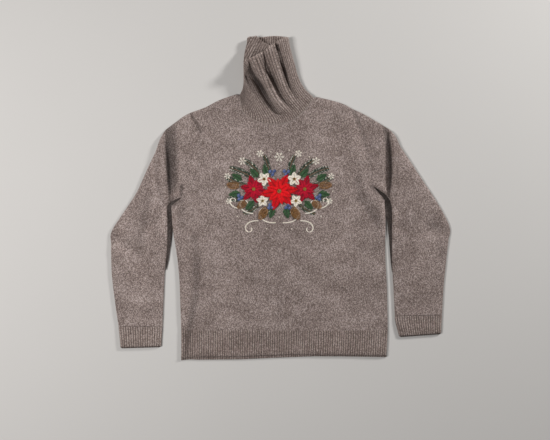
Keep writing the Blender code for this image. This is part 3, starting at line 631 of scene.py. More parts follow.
SLEEVE_LEFT = (
    ARMHOLE_LEFT,
    Section(-233, 195, -239, 0, 18, 8.0, 10.0, 0),
    Section(-246, 185, -244, -2, 9, 7.8, 9.0, 0),
    Section(-256, 178, -251, -5, 3, 6.0, 4.0, 0),
    Section(-265, 171, -258, -8, -1, 4.8, 2.8, 0),
    Section(-273, 165, -264, -11, -3, 4.6, 2.6, 0),
    Section(-279, 158, -268, -15, -4, 7.4, 12.5, 3),
    Section(-284, 150, -270.5, -19, -4, 10.6, 22.0, 5),
    Section(-291, 136, -271.5, -25, -3, 9.0, 17.5, 3),
    Section(-300, 110, -271.5, -34, -1, 8.6, 11.0, 0),
    Section(-318, 72, -271, -50, 0, 8.6, 9.0, 0),
    Section(-345, 13, -271, -67, 0, 8.2, 7.4, 0),
    Section(-376, -35, -271, -82, 0, 7.6, 7.0, 0),
    Section(-405, -81, -271, -98, 0, 7.6, 8.6, 0),
    Section(-406, -112, -272, -122, 0, 7.6, 9.0, 0),
    Section(-404.5, -180, -277.5, -180, 0, 7.6, 8.4, 0),
    Section(-396.5, -250, -280.5, -248, 0, 7.6, 8.0, 0),
    Section(-388, -308, -283, -309, 0, 7.6, 7.8, 0),
)
SLEEVE_RIGHT = (
    ARMHOLE_RIGHT,
    Section(200, 200, 234, 21, 8, 7.8, 9.0, 0),
    Section(223, 187, 244, 14, 5, 7.6, 9.5, 0),
    Section(235, 180, 249, 11, 5, 7.6, 9.0, 0),
    Section(246, 173, 254, 6, 7, 5.6, 5.0, 0),
    Section(256, 167, 260, -2, 8, 4.8, 2.6, 0),
    Section(265, 160, 264.5, -12, 8, 9.6, 20.0, -3),
    Section(277, 146, 267, -26, 4, 8.6, 16.0, -2),
    Section(287, 124, 267.5, -37, 1, 8.6, 10.5, 0),
    Section(308, 92, 267.5, -50, 0, 8.6, 8.8, 0),
    Section(346, 34, 267.5, -64, 0, 8.2, 7.6, 0),
    Section(378, -15, 267, -78, 0, 7.6, 8.4, 0),
    Section(405.5, -70, 267, -94, 0, 7.6, 7.2, 0),
    Section(402.5, -102, 267, -118, 0, 7.6, 8.8, 0),
    Section(397, -152, 268, -165, 0, 7.6, 8.4, 0),
    Section(391, -212, 271, -220, 0, 7.6, 8.0, 0),
    Section(387, -281, 274, -283, 0, 7.6, 7.8, 0),
)
SLEEVE_CREASES = (
    Crease("left, from underarm to elbow", -313, 7, -342, -130, 13, -2.4),
    Crease("left, crown of the upper arm", -300, 60, -312, -90, 14, 1.6),
    Crease("left, crown beside the elbow", -372, -20, -386, -120, 14, 1.6),
    Crease("left, underarm flap", -260, 4, -246, 12, 9, 4.0),
    Crease("left, tuck beside the flap", -237, 28, -238, 5, 4.0, -7.0),
    Crease("left, edge beside the slot", -279, -34, -277, -86, 8, 3.0),
    Crease("right, underarm flap", 238, 28, 254, 10, 9, 3.0),
    Crease("right, edge beside the slot", 275, -38, 275, -86, 8, 3.0),
    Crease("left, elbow dent", -402, -92, -362, -112, 11, -1.6),
    Crease("left, beside the elbow dent", -398, -122, -350, -136, 12, 1.0),
    Crease("left, short fold off the armpit", -286, -40, -330, -66, 9, -1.2),
    Crease("left, ridge along the forearm", -345, -140, -338, -280, 26, 0.9),
    Crease("left, forearm ripple", -398, -206, -346, -218, 14, -0.7),
    Crease("left, low ripple", -300, -262, -352, -272, 14, -0.6),
    Crease("left, long pull", -304, 96, -352, 0, 14, 1.0),
    Crease("right, inside elbow", 286, -66, 344, -40, 12, -1.2),
    Crease("right, elbow dent", 404, -76, 356, -66, 12, -1.6),
    Crease("right, beside the elbow dent", 402, -104, 352, -92, 13, 1.1),
    Crease("right, soft dark under the elbow", 366, -54, 390, -138, 13, -1.3),
    Crease("right, long pull", 292, 108, 352, 16, 14, 1.0),
    Crease("right, ridge along the forearm", 338, -128, 334, -262, 26, 0.9),
    Crease("right, forearm ripple", 394, -186, 340, -196, 14, -0.7),
    Crease("right, low ripple", 290, -238, 344, -250, 14, -0.7),
)
SLEEVE_LEAN = math.radians(12)  # the wales run down the arm, which slants this much from upright
ARMHOLE_REACH = 15.0  # the sleeve's top leaves the height of the front within this
UNDER_POINTS = 22
LEFT_SLEEVE_PAINTED_LIGHT = 0.25  # the left sleeve faces the light, so it is painted a little paler: painted light

# over_points: mesh points across the top of a ring. step: from one ring to the next.
Tube = namedtuple("Tube", "material creases over_points step wall")
ARM = Tube(JERSEY, SLEEVE_CREASES, 84, 3.4, WALL)


def between(table, step):
    """The table's sections with more between them, and how far along the sleeve each one is."""
    values = np.array(table, float)
    padded = np.vstack([2 * values[0] - values[1], values, 2 * values[-1] - values[-2]])
    rows, along = [], [0.0]
    for i in range(1, len(padded) - 2):
        middles = [(padded[k][:2] + padded[k][2:4]) / 2 for k in (i, i + 1)]
        length = np.linalg.norm(middles[1] - middles[0])
        steps = max(2, math.ceil(length / step))
        for k in range(steps):
            rows.append(spline(padded[i - 1], padded[i], padded[i + 1], padded[i + 2], k / steps))
            along.append(along[-1] + length / steps)
    rows.append(values[-1])
    return [Section(*row) for row in rows], along


def tube_ring(section, tube, repeats):
    """One closed ring of a flattened tube, over the top and back under: its points, wales and painted
    shading.
    """
    width = math.hypot(section.inner_x - section.outer_x, section.inner_y - section.outer_y)
    over = np.linspace(0, 1, tube.over_points)
    if not repeats:
        over = (0.5 - 0.5 * np.cos(math.pi * over)) * 0.35 + over * 0.65
    plan = section_points(section, over)
    from_fold = np.minimum(over, 1 - over) * width
    crown = section.tip + (section.middle - section.tip) * np.sin(math.pi * over) ** 0.8
    folds = crease_height(plan, tube.creases)
    lift = crown - SIDE_SEAM_HEIGHT + folds + 0.8 * ripples(plan * 1.3)
    top = SIDE_SEAM_HEIGHT + np.maximum(lift, 1.8) * rolled(from_fold)
    plan[:, 0] += section.over * np.sin(math.pi * over) ** 0.5 * np.clip((top - 6) / 8, 0, 1)
    if repeats:
        relief = rib_profile(over * repeats) - 0.55
        top += RIB_DEPTH * relief * (0.3 + 0.7 * rolled(from_fold, 6))
    under = np.linspace(1, 0, UNDER_POINTS + 2)[1:-1]
    below = section_points(section, under)
    fold = np.minimum(under, 1 - under) * width
    bottom = SIDE_SEAM_HEIGHT * (1 - rolled(fold, SIDE_SEAM_HEIGHT))
    ring = np.vstack([np.column_stack([plan, top]), np.column_stack([below, bottom])])
    # The sunk part beside the folded armhole, and every trough, is painted darker as shade, and every ridge
    # lighter as painted light.
    painted_fold_shading = np.minimum((crown - 7.2) / 1.8, 0) + folds / PAINTED_SHADING_STEP
    wales = rib_wales(np.concatenate([over, 2 - under]) * repeats)
    return ring, wales, np.concatenate([painted_fold_shading, np.zeros(UNDER_POINTS)])


def sleeve(name, node_name, table, tube, repeats=0):
    """A flattened tube from the table's sections, with a rib if it has repeats across its top."""
    sections, along = between(table, tube.step)
    rings = [tube_ring(section, tube, repeats) for section in sections]
    on_top, beneath = slice(0, tube.over_points), slice(tube.over_points, None)
    for (ring, _, painted_shading_of_points), distance in zip(rings, along):
        if repeats:
            # The under layer of the open end shows a little beyond the upper one, in its shade, and is
            # painted darker as painted shade.
            past = 1 - min((along[-1] - distance) / CUFF_REACH, 1)
            ring[beneath, 1] -= CUFF_BACK_SHOWS * past
            painted_shading_of_points[beneath] = CUFF_BACK_PAINTED_SHADE * past
            continue
        # At the armhole the sleeve's top takes the height of the front that it is sewn to.
        share = math.exp(-((distance / ARMHOLE_REACH) ** 2))
        joined = body_height(ring[on_top, :2]) if share > 0.01 else 0
        ring[on_top, 2] = ring[on_top, 2] * (1 - share) + joined * share
    points, wales, painted_shading = (np.concatenate([ring[k] for ring in rings]) for k in range(3))
    count = len(rings[0][0])
    courses = np.repeat(-np.array(along) / COURSE, count)
    is_left = table[0].outer_x < 0
    if not repeats:
        lean = -SLEEVE_LEAN if is_left else SLEEVE_LEAN
        wales = (points[:, 0] * math.cos(lean) + points[:, 1] * math.sin(lean)) / STITCH
        courses = (points[:, 1] * math.cos(lean) - points[:, 0] * math.sin(lean)) / COURSE
    faces = grid_faces(len(rings), count, closed=True)
    if is_left:
        faces = [face[::-1] for face in faces]
        painted_shading = painted_shading + LEFT_SLEEVE_PAINTED_LIGHT
    piece = cloth(name, points, faces, wales, courses, tube.material, tube.wall, painted_shading)
    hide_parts(node_name)


sleeve("sleeve_left_knit", "sleeve_left", SLEEVE_LEFT, ARM)
sleeve("sleeve_right_knit", "sleeve_right", SLEEVE_RIGHT, ARM)


# ------------------------------------------------------------------ cuffs
# The same rib as the hem, a little thinner, knitted on at each sleeve's end and narrower than it.
# It is a tube too, laid flat, and its open end shows the edge of its under layer.

CUFF_REPEATS = 20
# The under layer's edge at the open end: how far it shows, over what length, and how dark it is painted as
# shade.
CUFF_BACK_SHOWS, CUFF_REACH, CUFF_BACK_PAINTED_SHADE = 2.8, 8.0, -1.6
CUFF = Tube(RIB, (), CUFF_REPEATS * RIB_POINTS + 1, 4.0, 1.6)
CUFF_LEFT = (
    Section(-388, -308, -283, -309, 0, 7.5, 7.7, 0),
    Section(-387.5, -318, -283, -318, 0, 6.8, 7.2, 0),
    Section(-385.5, -336, -284.5, -335, 0, 7.2, 7.8, 0),
    Section(-384, -353, -285, -350, 0, 7.0, 7.4, 0),
    Section(-384, -358, -285.5, -355, 0, 5.6, 6.0, 0),
)
CUFF_RIGHT = (
    Section(387, -281, 274, -283, 0, 7.5, 7.7, 0),
    Section(387, -290, 274.5, -293, 0, 6.8, 7.2, 0),
    Section(386, -305, 278.5, -310, 0, 7.2, 7.8, 0),
    Section(385.5, -320, 283, -326.5, 0, 7.0, 7.4, 0),
    Section(385.5, -324, 284, -331, 0, 5.6, 6.0, 0),
)
sleeve("cuff_left_knit", "cuff_left", CUFF_LEFT, CUFF, CUFF_REPEATS - 2)
sleeve("cuff_right_knit", "cuff_right", CUFF_RIGHT, CUFF, CUFF_REPEATS)


# ------------------------------------------------------------------ polo neck
# A long tube of the same rib, linked to the neckline and left unfolded. Its back lies on the board.
# Its front stands up in slanting folds that start at the seam, and the tube turns half round as it
# rises, so wales that begin at the left go in through the mouth and lie inside the back.

FOLD_LEFT = (Point(-97, 247), Point(-90, 266), Point(-88, 292), Point(-88, 317))
FOLD_RIGHT = (
    Point(80, 240), Point(58, 262), Point(43, 290), Point(33, 326), Point(25, 355), Point(19, 384),
)
RIM_FRONT = (
    Point(-88, 317), Point(-76, 327), Point(-44, 346), Point(-30, 355), Point(-18, 365),
    Point(-6, 373), Point(19, 384),
)
RIM_BACK = (
    Point(-88, 317), Point(-85, 345), Point(-80, 368), Point(-76, 383), Point(-44, 385),
    Point(-13, 387), Point(19, 384),
)
Lean = namedtuple("Lean", "neckline rim")  # 0 to 1 over the front from the left, 1 to 2 behind
RIB_LEAN = (
    Lean(0.0, -0.50), Lean(0.30, -0.36), Lean(0.45, -0.20), Lean(0.535, -0.04), Lean(0.58, 0.05),
    Lean(0.635, 0.17), Lean(0.69, 0.30), Lean(0.745, 0.43), Lean(0.80, 0.62), Lean(0.862, 0.76),
    Lean(0.93, 0.89), Lean(1.0, 1.0), Lean(2.0, 1.50),
)
# at: where a fold starts, as a part of the neckline. low, middle, rim: its height on the way up.
# over: how far its crest leans to the left, over the hollow beside it.
NeckFold = namedtuple("NeckFold", "name at half_width low middle rim over")
NECK_FOLDS = (
    NeckFold("left lap", 0.36, 0.09, 4, 8, 3, 0),
    NeckFold("deep hollow", 0.563, 0.038, -10, -33, -2, 0),
    NeckFold("first ridge, left shoulder", 0.587, 0.030, 0, 2, 17, 0),
    NeckFold("first ridge", 0.642, 0.032, 8, 20, 20, 6),
    NeckFold("dip in the first ridge", 0.664, 0.014, -1, -5, -3, 0),
    NeckFold("second hollow", 0.730, 0.028, -6, -15, -6, 0),
    NeckFold("second ridge", 0.80, 0.028, 3, 9, 10, 4),
    NeckFold("third hollow", 0.858, 0.024, -3, -16, -12, 0),
    NeckFold("right ridge", 0.93, 0.04, 2, 4, 1, 2),
)
LEAN_STARTS, LEAN_CURVE = 0.06, 1.35
FOLD_DRIFT = 0.037  # low down, the first folds stand this much further round than their wales
NECK_TUBE_LENGTH = 204.0
NECK_HEIGHTS = (10.0, 15.0, 20.0, 23.0)  # at even steps from the seam to the rim
NECK_RIM_LIFT = 29.0  # of the rim's left end
NECK_LAP = 9.0
NECK_WALL = 2.4
NECK_AIR = 0.9  # least room between the neck's front and what lies in it
LEAST_INSIDE = 0.6  # and between its inner faces where it is pressed together
NECK_ROLL = 11.0
NECK_ROWS = 50
RIM_SWELL = 4.5  # the back's rim curls up at its right
RIM_PAINTED_HIGHLIGHT = 0.8  # the cast-off edge is painted paler: a painted highlight where its rounded edge catches the light
# The inside of the tube is painted a little darker: painted shade.
INSIDE_PAINTED_SHADE = -0.2
Ribs = namedtuple("Ribs", "place count")  # ribs from the left, round the seam
RIB_COUNT = (Ribs(0.0, 0), Ribs(0.55, 19), Ribs(1.0, 40), Ribs(2.0, 80))
# The left of the rim is tucked in and lies over the inside of the back, as a flap with this edge.
FLAP_EDGE = (
    Point(-62, 391), Point(-52, 380), Point(-40, 371), Point(-25, 363), Point(-8, 354), Point(14, 345),
)
FLAP_HEIGHT = 11.5
FLAP_TURN = math.radians(62)  # which way its ribs run
OVERHANG, HOLLOW = 2.6, 1.8  # the flap's edge hangs over, and the back draws away, so a dark slot shows
HANGING_WAY = (0.55, 0.83)
FRONT_POINTS, BACK_POINTS = 380, 230


def at_part(line, part):
    grid = np.linspace(0, 1, len(line))
    return np.column_stack([np.interp(part, grid, line[:, k]) for k in range(2)])


def eased(value, low, high):
    s = np.clip((value - low) / (high - low), 0, 1)
    return s * s * (3 - 2 * s)


low_front, low_back = smooth_line(NECKLINE_FRONT, 200), smooth_line(NECKLINE_BACK, 200)
high_front, high_back = smooth_line(RIM_FRONT, 200), smooth_line(RIM_BACK, 200)
fold_left, fold_right = smooth_line(FOLD_LEFT, 200), smooth_line(FOLD_RIGHT, 200)


def stretched(u, t, low, high):
    """The plan of a sheet stretched between two lines and the tube's side folds."""
    u, t = u[:, None], np.full((len(u), 1), t)
    low_u, high_u = at_part(low, u[:, 0]), at_part(high, u[:, 0])
    left_t, right_t = at_part(fold_left, t[:, 0]), at_part(fold_right, t[:, 0])
    low_corners = (1 - u) * (1 - t) * low[0] + u * (1 - t) * low[-1]
    high_corners = (1 - u) * t * high[0] + u * t * high[-1]
    return (1 - t) * low_u + t * high_u + (1 - u) * left_t + u * right_t - low_corners - high_corners


def neck_width(t):
    part = np.array([t])
    return float(np.linalg.norm(at_part(fold_right, part) - at_part(fold_left, part)))


wale_starts = np.linspace(0, 2, 401)
wale_ends = np.interp(wale_starts, *np.array(RIB_LEAN).T)


def wale_at(place, t):
    """Which part of the neckline the wale at this place of a ring starts from."""
    lean = np.clip((t - LEAN_STARTS) / (1 - LEAN_STARTS), 0, 1) ** LEAN_CURVE
    places = wale_starts + (wale_ends - wale_starts) * lean
    wrapped = np.where(place > places[-1], place - 2, place)
    return np.interp(wrapped, places, wale_starts)


def lift_at(t):
    return NECK_RIM_LIFT * eased(t, 0.35, 1)


def floor_height(u, t):
    """Underside of the neck's back: flat, but for its lifted left end and the lap in the mouth."""
    lap = NECK_LAP * eased(t, 0.55, 0.9) * (1 - eased(u, 0.42, 0.50))
    return lift_at(t) * (1 - eased(u, 0, 0.30)) + lap * eased(u, 0, 0.2)


def fold_sums(u, t):
    """Height and sideways lean of the folds at each place of the front, in millimetres."""
    start = wale_at(u, t)
    height, lean = np.zeros(len(u)), np.zeros(len(u))
    for fold in NECK_FOLDS:
        drift = FOLD_DRIFT * np.interp(fold.at, (0.4, 0.5, 0.66, 0.8), (0, 1, 1, 0))
        drift *= 1 - eased(t, 0.5, 0.85)
        bell = np.exp(-(((start - fold.at - drift) / fold.half_width) ** 2))
        height += np.interp(t, (0, 0.25, 0.6, 1), (0, fold.low, fold.middle, fold.rim)) * bell
        lean += fold.over * bell * eased(t, 0.05, 0.4)
    return height, lean


def front_top(u, t):
    """Outer face of the neck's front, as x, y and height."""
    folds, lean = fold_sums(u, t)
    side = SIDE_SEAM_HEIGHT + lift_at(t) * (1 - eased(u, 0, 0.6))
    from_fold = np.minimum(u, 1 - u) * neck_width(t) / NECK_ROLL
    roll = np.sqrt(1 - (1 - np.clip(from_fold, 0, 1)) ** 2)
    full = np.interp(t, (0, 0.33, 0.66, 1), NECK_HEIGHTS) + folds
    puffed = side + (np.maximum(full, side + 3) - side) * roll
    free = eased(t, 0, 0.22)
    flat = stretched(u, t, low_front, high_front)
    height = body_height(flat) * (1 - free) + puffed * free
    moved = np.clip(u - lean * roll / neck_width(t), 0, 1)
    plan = stretched(moved, t, low_front, high_front)
    filled = floor_height(u, t) + flap_height(plan, t) * roll + 2 * NECK_WALL + NECK_AIR
    height = np.maximum(height, filled)
    return np.column_stack([plan, height])


def rib_number(place, t):
    return np.interp(wale_at(place, t), *np.array(RIB_COUNT).T)


flap_edge = smooth_line(FLAP_EDGE, 40)


def past_flap_edge(xy):
    """How far each point lies under the flap's side of its edge; negative on the open back."""
    beside = np.interp(xy[:, 0], flap_edge[:, 0], flap_edge[:, 1]) - xy[:, 1]
    return np.sign(beside) * distance_to(xy, flap_edge)


def flap_height(xy, t):
    return FLAP_HEIGHT * eased(past_flap_edge(xy), -0.6, 1.4) * eased(t, 0.62, 0.8)


front_places = np.linspace(0, 1, FRONT_POINTS)
back_places = np.linspace(1, 2, BACK_POINTS + 2)[1:-1]
neck_places = np.concatenate([front_places, back_places])
behind = 2 - back_places


def outer_ring(t):
    """The outer face at one height of the tube: its ribbed front, and its back along the board."""
    top = front_top(front_places, t)
    spread = np.clip(neck_width(t) / 90, 0.6, 1)
    cords = rib_profile(rib_number(front_places, t)) - 0.5
    top[:, 2] += RIB_DEPTH * spread * cords * eased(t, 0, 0.03)
    top[0, 2], top[-1, 2] = SIDE_SEAM_HEIGHT + lift_at(t), SIDE_SEAM_HEIGHT
    plan = stretched(behind, t, low_back, high_back)
    return np.vstack([top, np.column_stack([plan, floor_height(behind, t)])])


def inner_front(t, inset):
    """The front's inner face: one wall below the lowest of the outer face around each point."""
    u = inset + front_places * (1 - 2 * inset)
    around = [np.clip(u + k * inset, 0, 1) for k in (-1, -0.5, 0, 0.5, 1)]
    lowest = np.min([front_top(near, t)[:, 2] for near in around], axis=0)
    under = front_top(u, t)
    base = floor_height(u, t) + NECK_WALL
    under[:, 2] = np.maximum(lowest - NECK_WALL, base + LEAST_INSIDE)
    under[[0, -1], 2] = (under[[0, -1], 2] + base[[0, -1]]) / 2
    return under


def inner_back(t, inset):
    """The back's inner face, with the flap lying over its left, and the number of each point's rib."""
    u = inset + behind * (1 - 2 * inset)
    plan = stretched(u, t, low_back, high_back)
    past = past_flap_edge(plan)
    on_flap = (plan[:, 0] * math.sin(FLAP_TURN) - plan[:, 1] * math.cos(FLAP_TURN)) / RIB_REPEAT
    ribs = np.where(past > 0, on_flap, plan[:, 0] / RIB_REPEAT)
    shown = floor_height(u, t)
    shown = np.where(past < 0, shown, np.maximum(shown, flap_height(plan, t)))
    shown += RIM_SWELL * eased(t, 0.75, 1) * eased(u, 0.55, 0.95) * (1 - eased(u, 0.9, 1.0))
    shown += NECK_WALL + RIB_DEPTH * (rib_profile(ribs) - 0.5) * eased(t, 0.1, 0.3)
    hang = OVERHANG * np.exp(-(((past - 2.2) / 1.6) ** 2)) - HOLLOW * np.exp(-(((past + 1.2) / 1.4) ** 2))
    plan = plan + (hang * eased(t, 0.66, 0.8))[:, None] * np.array(HANGING_WAY)
    return np.column_stack([plan, shown]), ribs


outer_rings, inner_rings, outer_wales, inner_wales, painted_shadings = [], [], [], [], []
for t in np.linspace(0, 1, NECK_ROWS):
    inset = NECK_WALL / neck_width(t)
    back_inside, back_ribs = inner_back(t, inset)
    outer_rings.append(outer_ring(t))
    inner_rings.append(np.vstack([inner_front(t, inset), back_inside]))
    outer_wales.append(rib_wales(rib_number(neck_places, t)))
    inner_wales.append(rib_wales(np.concatenate([rib_number(front_places, t), back_ribs])))
    # The hollows between the folds are painted darker: painted shade.
    painted_fold_shading = np.minimum(fold_sums(front_places, t)[0] / 10, 0)
    painted_shadings.append(np.concatenate([painted_fold_shading, np.zeros(BACK_POINTS)]))

# The rim is a rounded edge between the outer and the inner face.
rim_middle = (outer_rings[-1] + inner_rings[-1]) / 2
run = rim_middle - (outer_rings[-3] + inner_rings[-3]) / 2
rim_middle += 1.3 * run / np.maximum(np.linalg.norm(run, axis=1)[:, None], 0.1)
rings = [*outer_rings, rim_middle, *inner_rings[::-1]]
count = len(neck_places)
points = np.vstack(rings)
heights = np.linspace(0, NECK_TUBE_LENGTH, NECK_ROWS) / COURSE
courses = np.repeat(np.concatenate([heights, [heights[-1]], heights[::-1]]), count)
wales = np.concatenate([*outer_wales, outer_wales[-1], *inner_wales[::-1]])
faces = grid_faces(len(rings), count, closed=True)
last = (len(rings) - 1) * count
faces += [(last + i, last + (i + 1) % count, (i + 1) % count, i) for i in range(count)]
# Two rings on each side of the rim, and the rim itself, are the cast-off edge, painted paler as a
# highlight. The rest of the inside is painted a little darker as shade.
painted_shadings = [*painted_shadings[:-2], *[np.full(count, RIM_PAINTED_HIGHLIGHT)] * 4, *[np.full(count, INSIDE_PAINTED_SHADE)] * (NECK_ROWS - 1)]
polo_neck = cloth("polo_neck_knit", points, faces, wales, courses, RIB, wall=0, painted_shading=np.concatenate(painted_shadings))
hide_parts("collar")


# ------------------------------------------------------------------ linking seams
# The polo neck is linked to the body loop by loop, which shows as a fine paler chain round the
# neckline. Armholes and sides are closed from the inside and show as a soft furrow, made above.

TONE_STEPS = 64.0  # a thread's tone is the whole part of its U in this many steps
SUNK = 0.35  # threads lie this much into the cloth
THREAD_FORM = ((-0.5, -0.1), (-0.36, 0.72), (0.0, 1.0), (0.36, 0.72), (0.5, -0.1))  # across and up
THREAD_RINGS = np.array([0.0, 0.22, 0.5, 0.78, 1.0])
Strand = namedtuple("Strand", "x0 y0 x1 y1 width arch base bend tone")


class Stitches:
    """Many laid threads of one yarn, kept until they are made into one mesh."""

    def __init__(self):
        self.strands = []

    def lay(self, start, end, width=1.0, arch=0.7, base=0.0, bend=0.0, tone=0.5):
        self.strands.append(Strand(*start, *end, width, arch, base, bend, tone))


HEIGHT_GRID_STEP = 4.0
grid_x, grid_y = np.arange(-200, 200, HEIGHT_GRID_STEP), np.arange(-140, 264, HEIGHT_GRID_STEP)
flat_grid = np.array([(x, y) for y in grid_y for x in grid_x])
height_grid = body_height(flat_grid).reshape(len(grid_y), len(grid_x))


def cloth_height(xy):
    """Height of the front under each point, read between the points of a fine grid."""
    column = np.clip((xy[:, 0] - grid_x[0]) / HEIGHT_GRID_STEP, 0, len(grid_x) - 1.001)
    row = np.clip((xy[:, 1] - grid_y[0]) / HEIGHT_GRID_STEP, 0, len(grid_y) - 1.001)
    c, r = column.astype(int), row.astype(int)
    fx, fy = column - c, row - r
    low = height_grid[r, c] * (1 - fx) + height_grid[r, c + 1] * fx
    high = height_grid[r + 1, c] * (1 - fx) + height_grid[r + 1, c + 1] * fx
    return low * (1 - fy) + high * fy


def sewn(name, stitches, material):
    """One mesh of all the threads: each is a five-sided arch that dives into the cloth at its ends."""
    rows = np.array(stitches.strands)
    start, end, width, arch, base, bend, tone = rows[:, 0:2], rows[:, 2:4], *rows[:, 4:].T
    run = end - start
    length = np.linalg.norm(run, axis=1)
    across = np.column_stack([-run[:, 1], run[:, 0]]) / length[:, None]
    rings, sides = len(THREAD_RINGS), len(THREAD_FORM)
    points = np.zeros((len(rows), rings, sides, 3))
    for k, t in enumerate(THREAD_RINGS):
        middle = start + t * run + (bend * 4 * t * (1 - t))[:, None] * across
        ground = cloth_height(middle)
        swell = 0.45 + 0.55 * math.sin(math.pi * t) ** 0.5
        rise = arch * math.sin(math.pi * t) ** 0.7
        for j, (side, up) in enumerate(THREAD_FORM):
            points[:, k, j, :2] = middle + (side * width * swell)[:, None] * across
            points[:, k, j, 2] = ground + base + rise - SUNK + (up * width * 0.62 * swell)
    first = np.arange(len(rows))[:, None] * rings * sides
    faces = []
    for k in range(rings - 1):
        for j in range(sides):
            near, far = first + k * sides, first + (k + 1) * sides
            n = (j + 1) % sides
            faces.append(np.hstack([near + j, far + j, far + n, near + n]))
    caps = [tuple(row) for row in np.hstack([first + j for j in range(sides)])]
    far = first + (rings - 1) * sides
    caps += [tuple(row) for row in np.hstack([far + j for j in range(sides - 1, -1, -1)])]
    along = (THREAD_RINGS[None, :, None] * length[:, None, None]).repeat(sides, axis=2)
    tones = np.broadcast_to(tone[:, None, None], along.shape)
    round_it = np.broadcast_to(np.linspace(0, 0.8, sides)[None, None, :], along.shape)
    piece = cloth(
        name, points.reshape(-1, 3), [*map(tuple, np.vstack(faces)), *caps],
        (np.floor(tones * TONE_STEPS) + round_it).ravel(), along.ravel(), material, wall=0,
    )
    return piece


# The same yarn as the body with the paler ply uppermost, so the chain reads a little light.
linking_yarn, _ = new_material(
    "lambswool linking yarn", 0.9, Sheen_Weight=0.3, Specular_IOR_Level=0.15, Base_Color=colour("#a0938b"),
)

chain = Stitches()
neck_seam = smooth_line(NECKLINE_FRONT, 110)
seam_run = np.gradient(neck_seam, axis=0)
seam_side = np.column_stack([-seam_run[:, 1], seam_run[:, 0]]) / np.linalg.norm(seam_run, axis=1)[:, None]
for i in range(2, len(neck_seam) - 4):
    # Each loop's two legs start apart and meet in the next loop.
    for leg in (-1, 1):
        start = neck_seam[i] - seam_side[i] * (1.0 - leg * 0.9)
        chain.lay(start, neck_seam[i + 1] - seam_side[i + 1], 0.9, 0.35, 0.2)
seam_chain = sewn("neck_seam_chain", chain, linking_yarn)


# ------------------------------------------------------------------ embroidery
# A winter swag worked by hand in crewel wool: poinsettias in long satin stitches, holly and fir
# sprigs, blue berries, fir cones and frost stars, in the place of the picture on the real garment.

rng = np.random.default_rng(24)
THREAD = 1.05  # one laid thread of crewel wool
PITCH = 0.86  # from one thread to the next, so they close up
CURL_TURN = 360 * 1.15  # how far a scroll winds round


def crewel(name, dark, light):
    """Worsted crewel wool, two plies twisted, with a painted highlight on the crown of each thread and
    painted shade in its twist, a soft lustre along the stitch and small changes of dye lot from stitch to
    stitch."""
    yarn, shader = new_material(name, 0.7, Sheen_Weight=0.12, Sheen_Roughness=0.4, Specular_IOR_Level=0.2)
    uv = node(yarn, "UVMap", {"uv_map": "stitches"})
    split = node(yarn, "SeparateXYZ", links={0: uv})
    strand = maths(yarn, "FLOOR", split)
    tone = maths(yarn, "DIVIDE", strand, TONE_STEPS)
    round_it = maths(yarn, "FRACT", split)
    crown = maths(yarn, "PINGPONG", round_it, 0.4)
    # The twist: slanting grooves every 1.4 mm, painted darker as shade.
    turned = maths(yarn, "MULTIPLY_ADD", split.outputs[1], 0.7, round_it)
    ply = maths(yarn, "PINGPONG", turned, 0.5)
    mixed = maths(yarn, "MULTIPLY_ADD", ply, 0.5, tone)
    # The crown of each thread is painted lighter: a painted highlight.
    tone_with_painted_highlight = maths(yarn, "MULTIPLY_ADD", crown, 0.6, mixed)
    light_part = node(yarn, "MapRange", {1: 0.1, 2: 1.2}, {0: tone_with_painted_highlight})
    dyes = {"data_type": "RGBA", 6: colour(dark), 7: colour(light)}
    shade = node(yarn, "Mix", dyes, {0: light_part})
    relief = node(yarn, "Bump", {"Strength": 0.6, "Distance": 0.0002}, {"Height": ply})
    feed(shader, {"Base Color": shade.outputs[2], "Normal": relief})
    return yarn


YARN_COLOURS = {
    "scarlet": ("#96000c", "#f4101c"),
    "crimson": ("#640418", "#cc0c32"),
    "fir_green": ("#101e18", "#385440"),
    "holly_green": ("#182c1e", "#4c6e48"),
    "berry_blue": ("#2a3860", "#6c7fb2"),
    "cone_brown": ("#4e3320", "#b48450"),
    "cream": ("#d6c8b4", "#fff8ea"),
    "old_gold": ("#80611c", "#d8b04a"),
}
YARNS = {
    name: crewel("crewel wool, " + name.replace("_", " "), dark, light)
    for name, (dark, light) in YARN_COLOURS.items()
}
threads = {name: Stitches() for name in YARNS}


def direction(degrees):
    turn = math.radians(degrees)
    return np.array([math.cos(turn), math.sin(turn)])


def tone_near(value, spread=0.16):
    return float(np.clip(value + rng.normal(0, spread), 0, 1))


def satin_leaf(yarn, base, angle, length, half_width, layer, lobes=0, slant=0.2, tone=0.5, vein=None):
    """A leaf or petal in two halves of slanting satin stitches that meet at its middle vein."""
    along, side = direction(angle), direction(angle + 90)
    for s in np.arange(0.03, 1.0, PITCH / length):
        edge_at = min(s + slant * (1 - s), 1.0)
        wide = half_width * math.sin(math.pi * min(edge_at, 0.999) ** 0.85) ** 0.75
        if lobes:
            wide *= 0.62 + 0.38 * abs(math.sin(math.pi * lobes * edge_at))
        for sign in (-1, 1):
            start = base + along * length * s
            end = base + along * length * edge_at + side * sign * max(wide, 0.9)
            end = end + along * rng.normal(0, 0.35)
            threads[yarn].lay(start, end, THREAD, 0.75, layer, 0.25 * sign, tone_near(tone))
    if vein:
        steps = max(2, int(length * 0.8 / 4.5))
        for k in range(steps):
            a, b = k / steps * 0.82 + 0.04, (k + 1) / steps * 0.82 + 0.05
            threads[vein].lay(base + along * length * a, base + along * length * b, 0.7, 0.5, layer + 0.75)


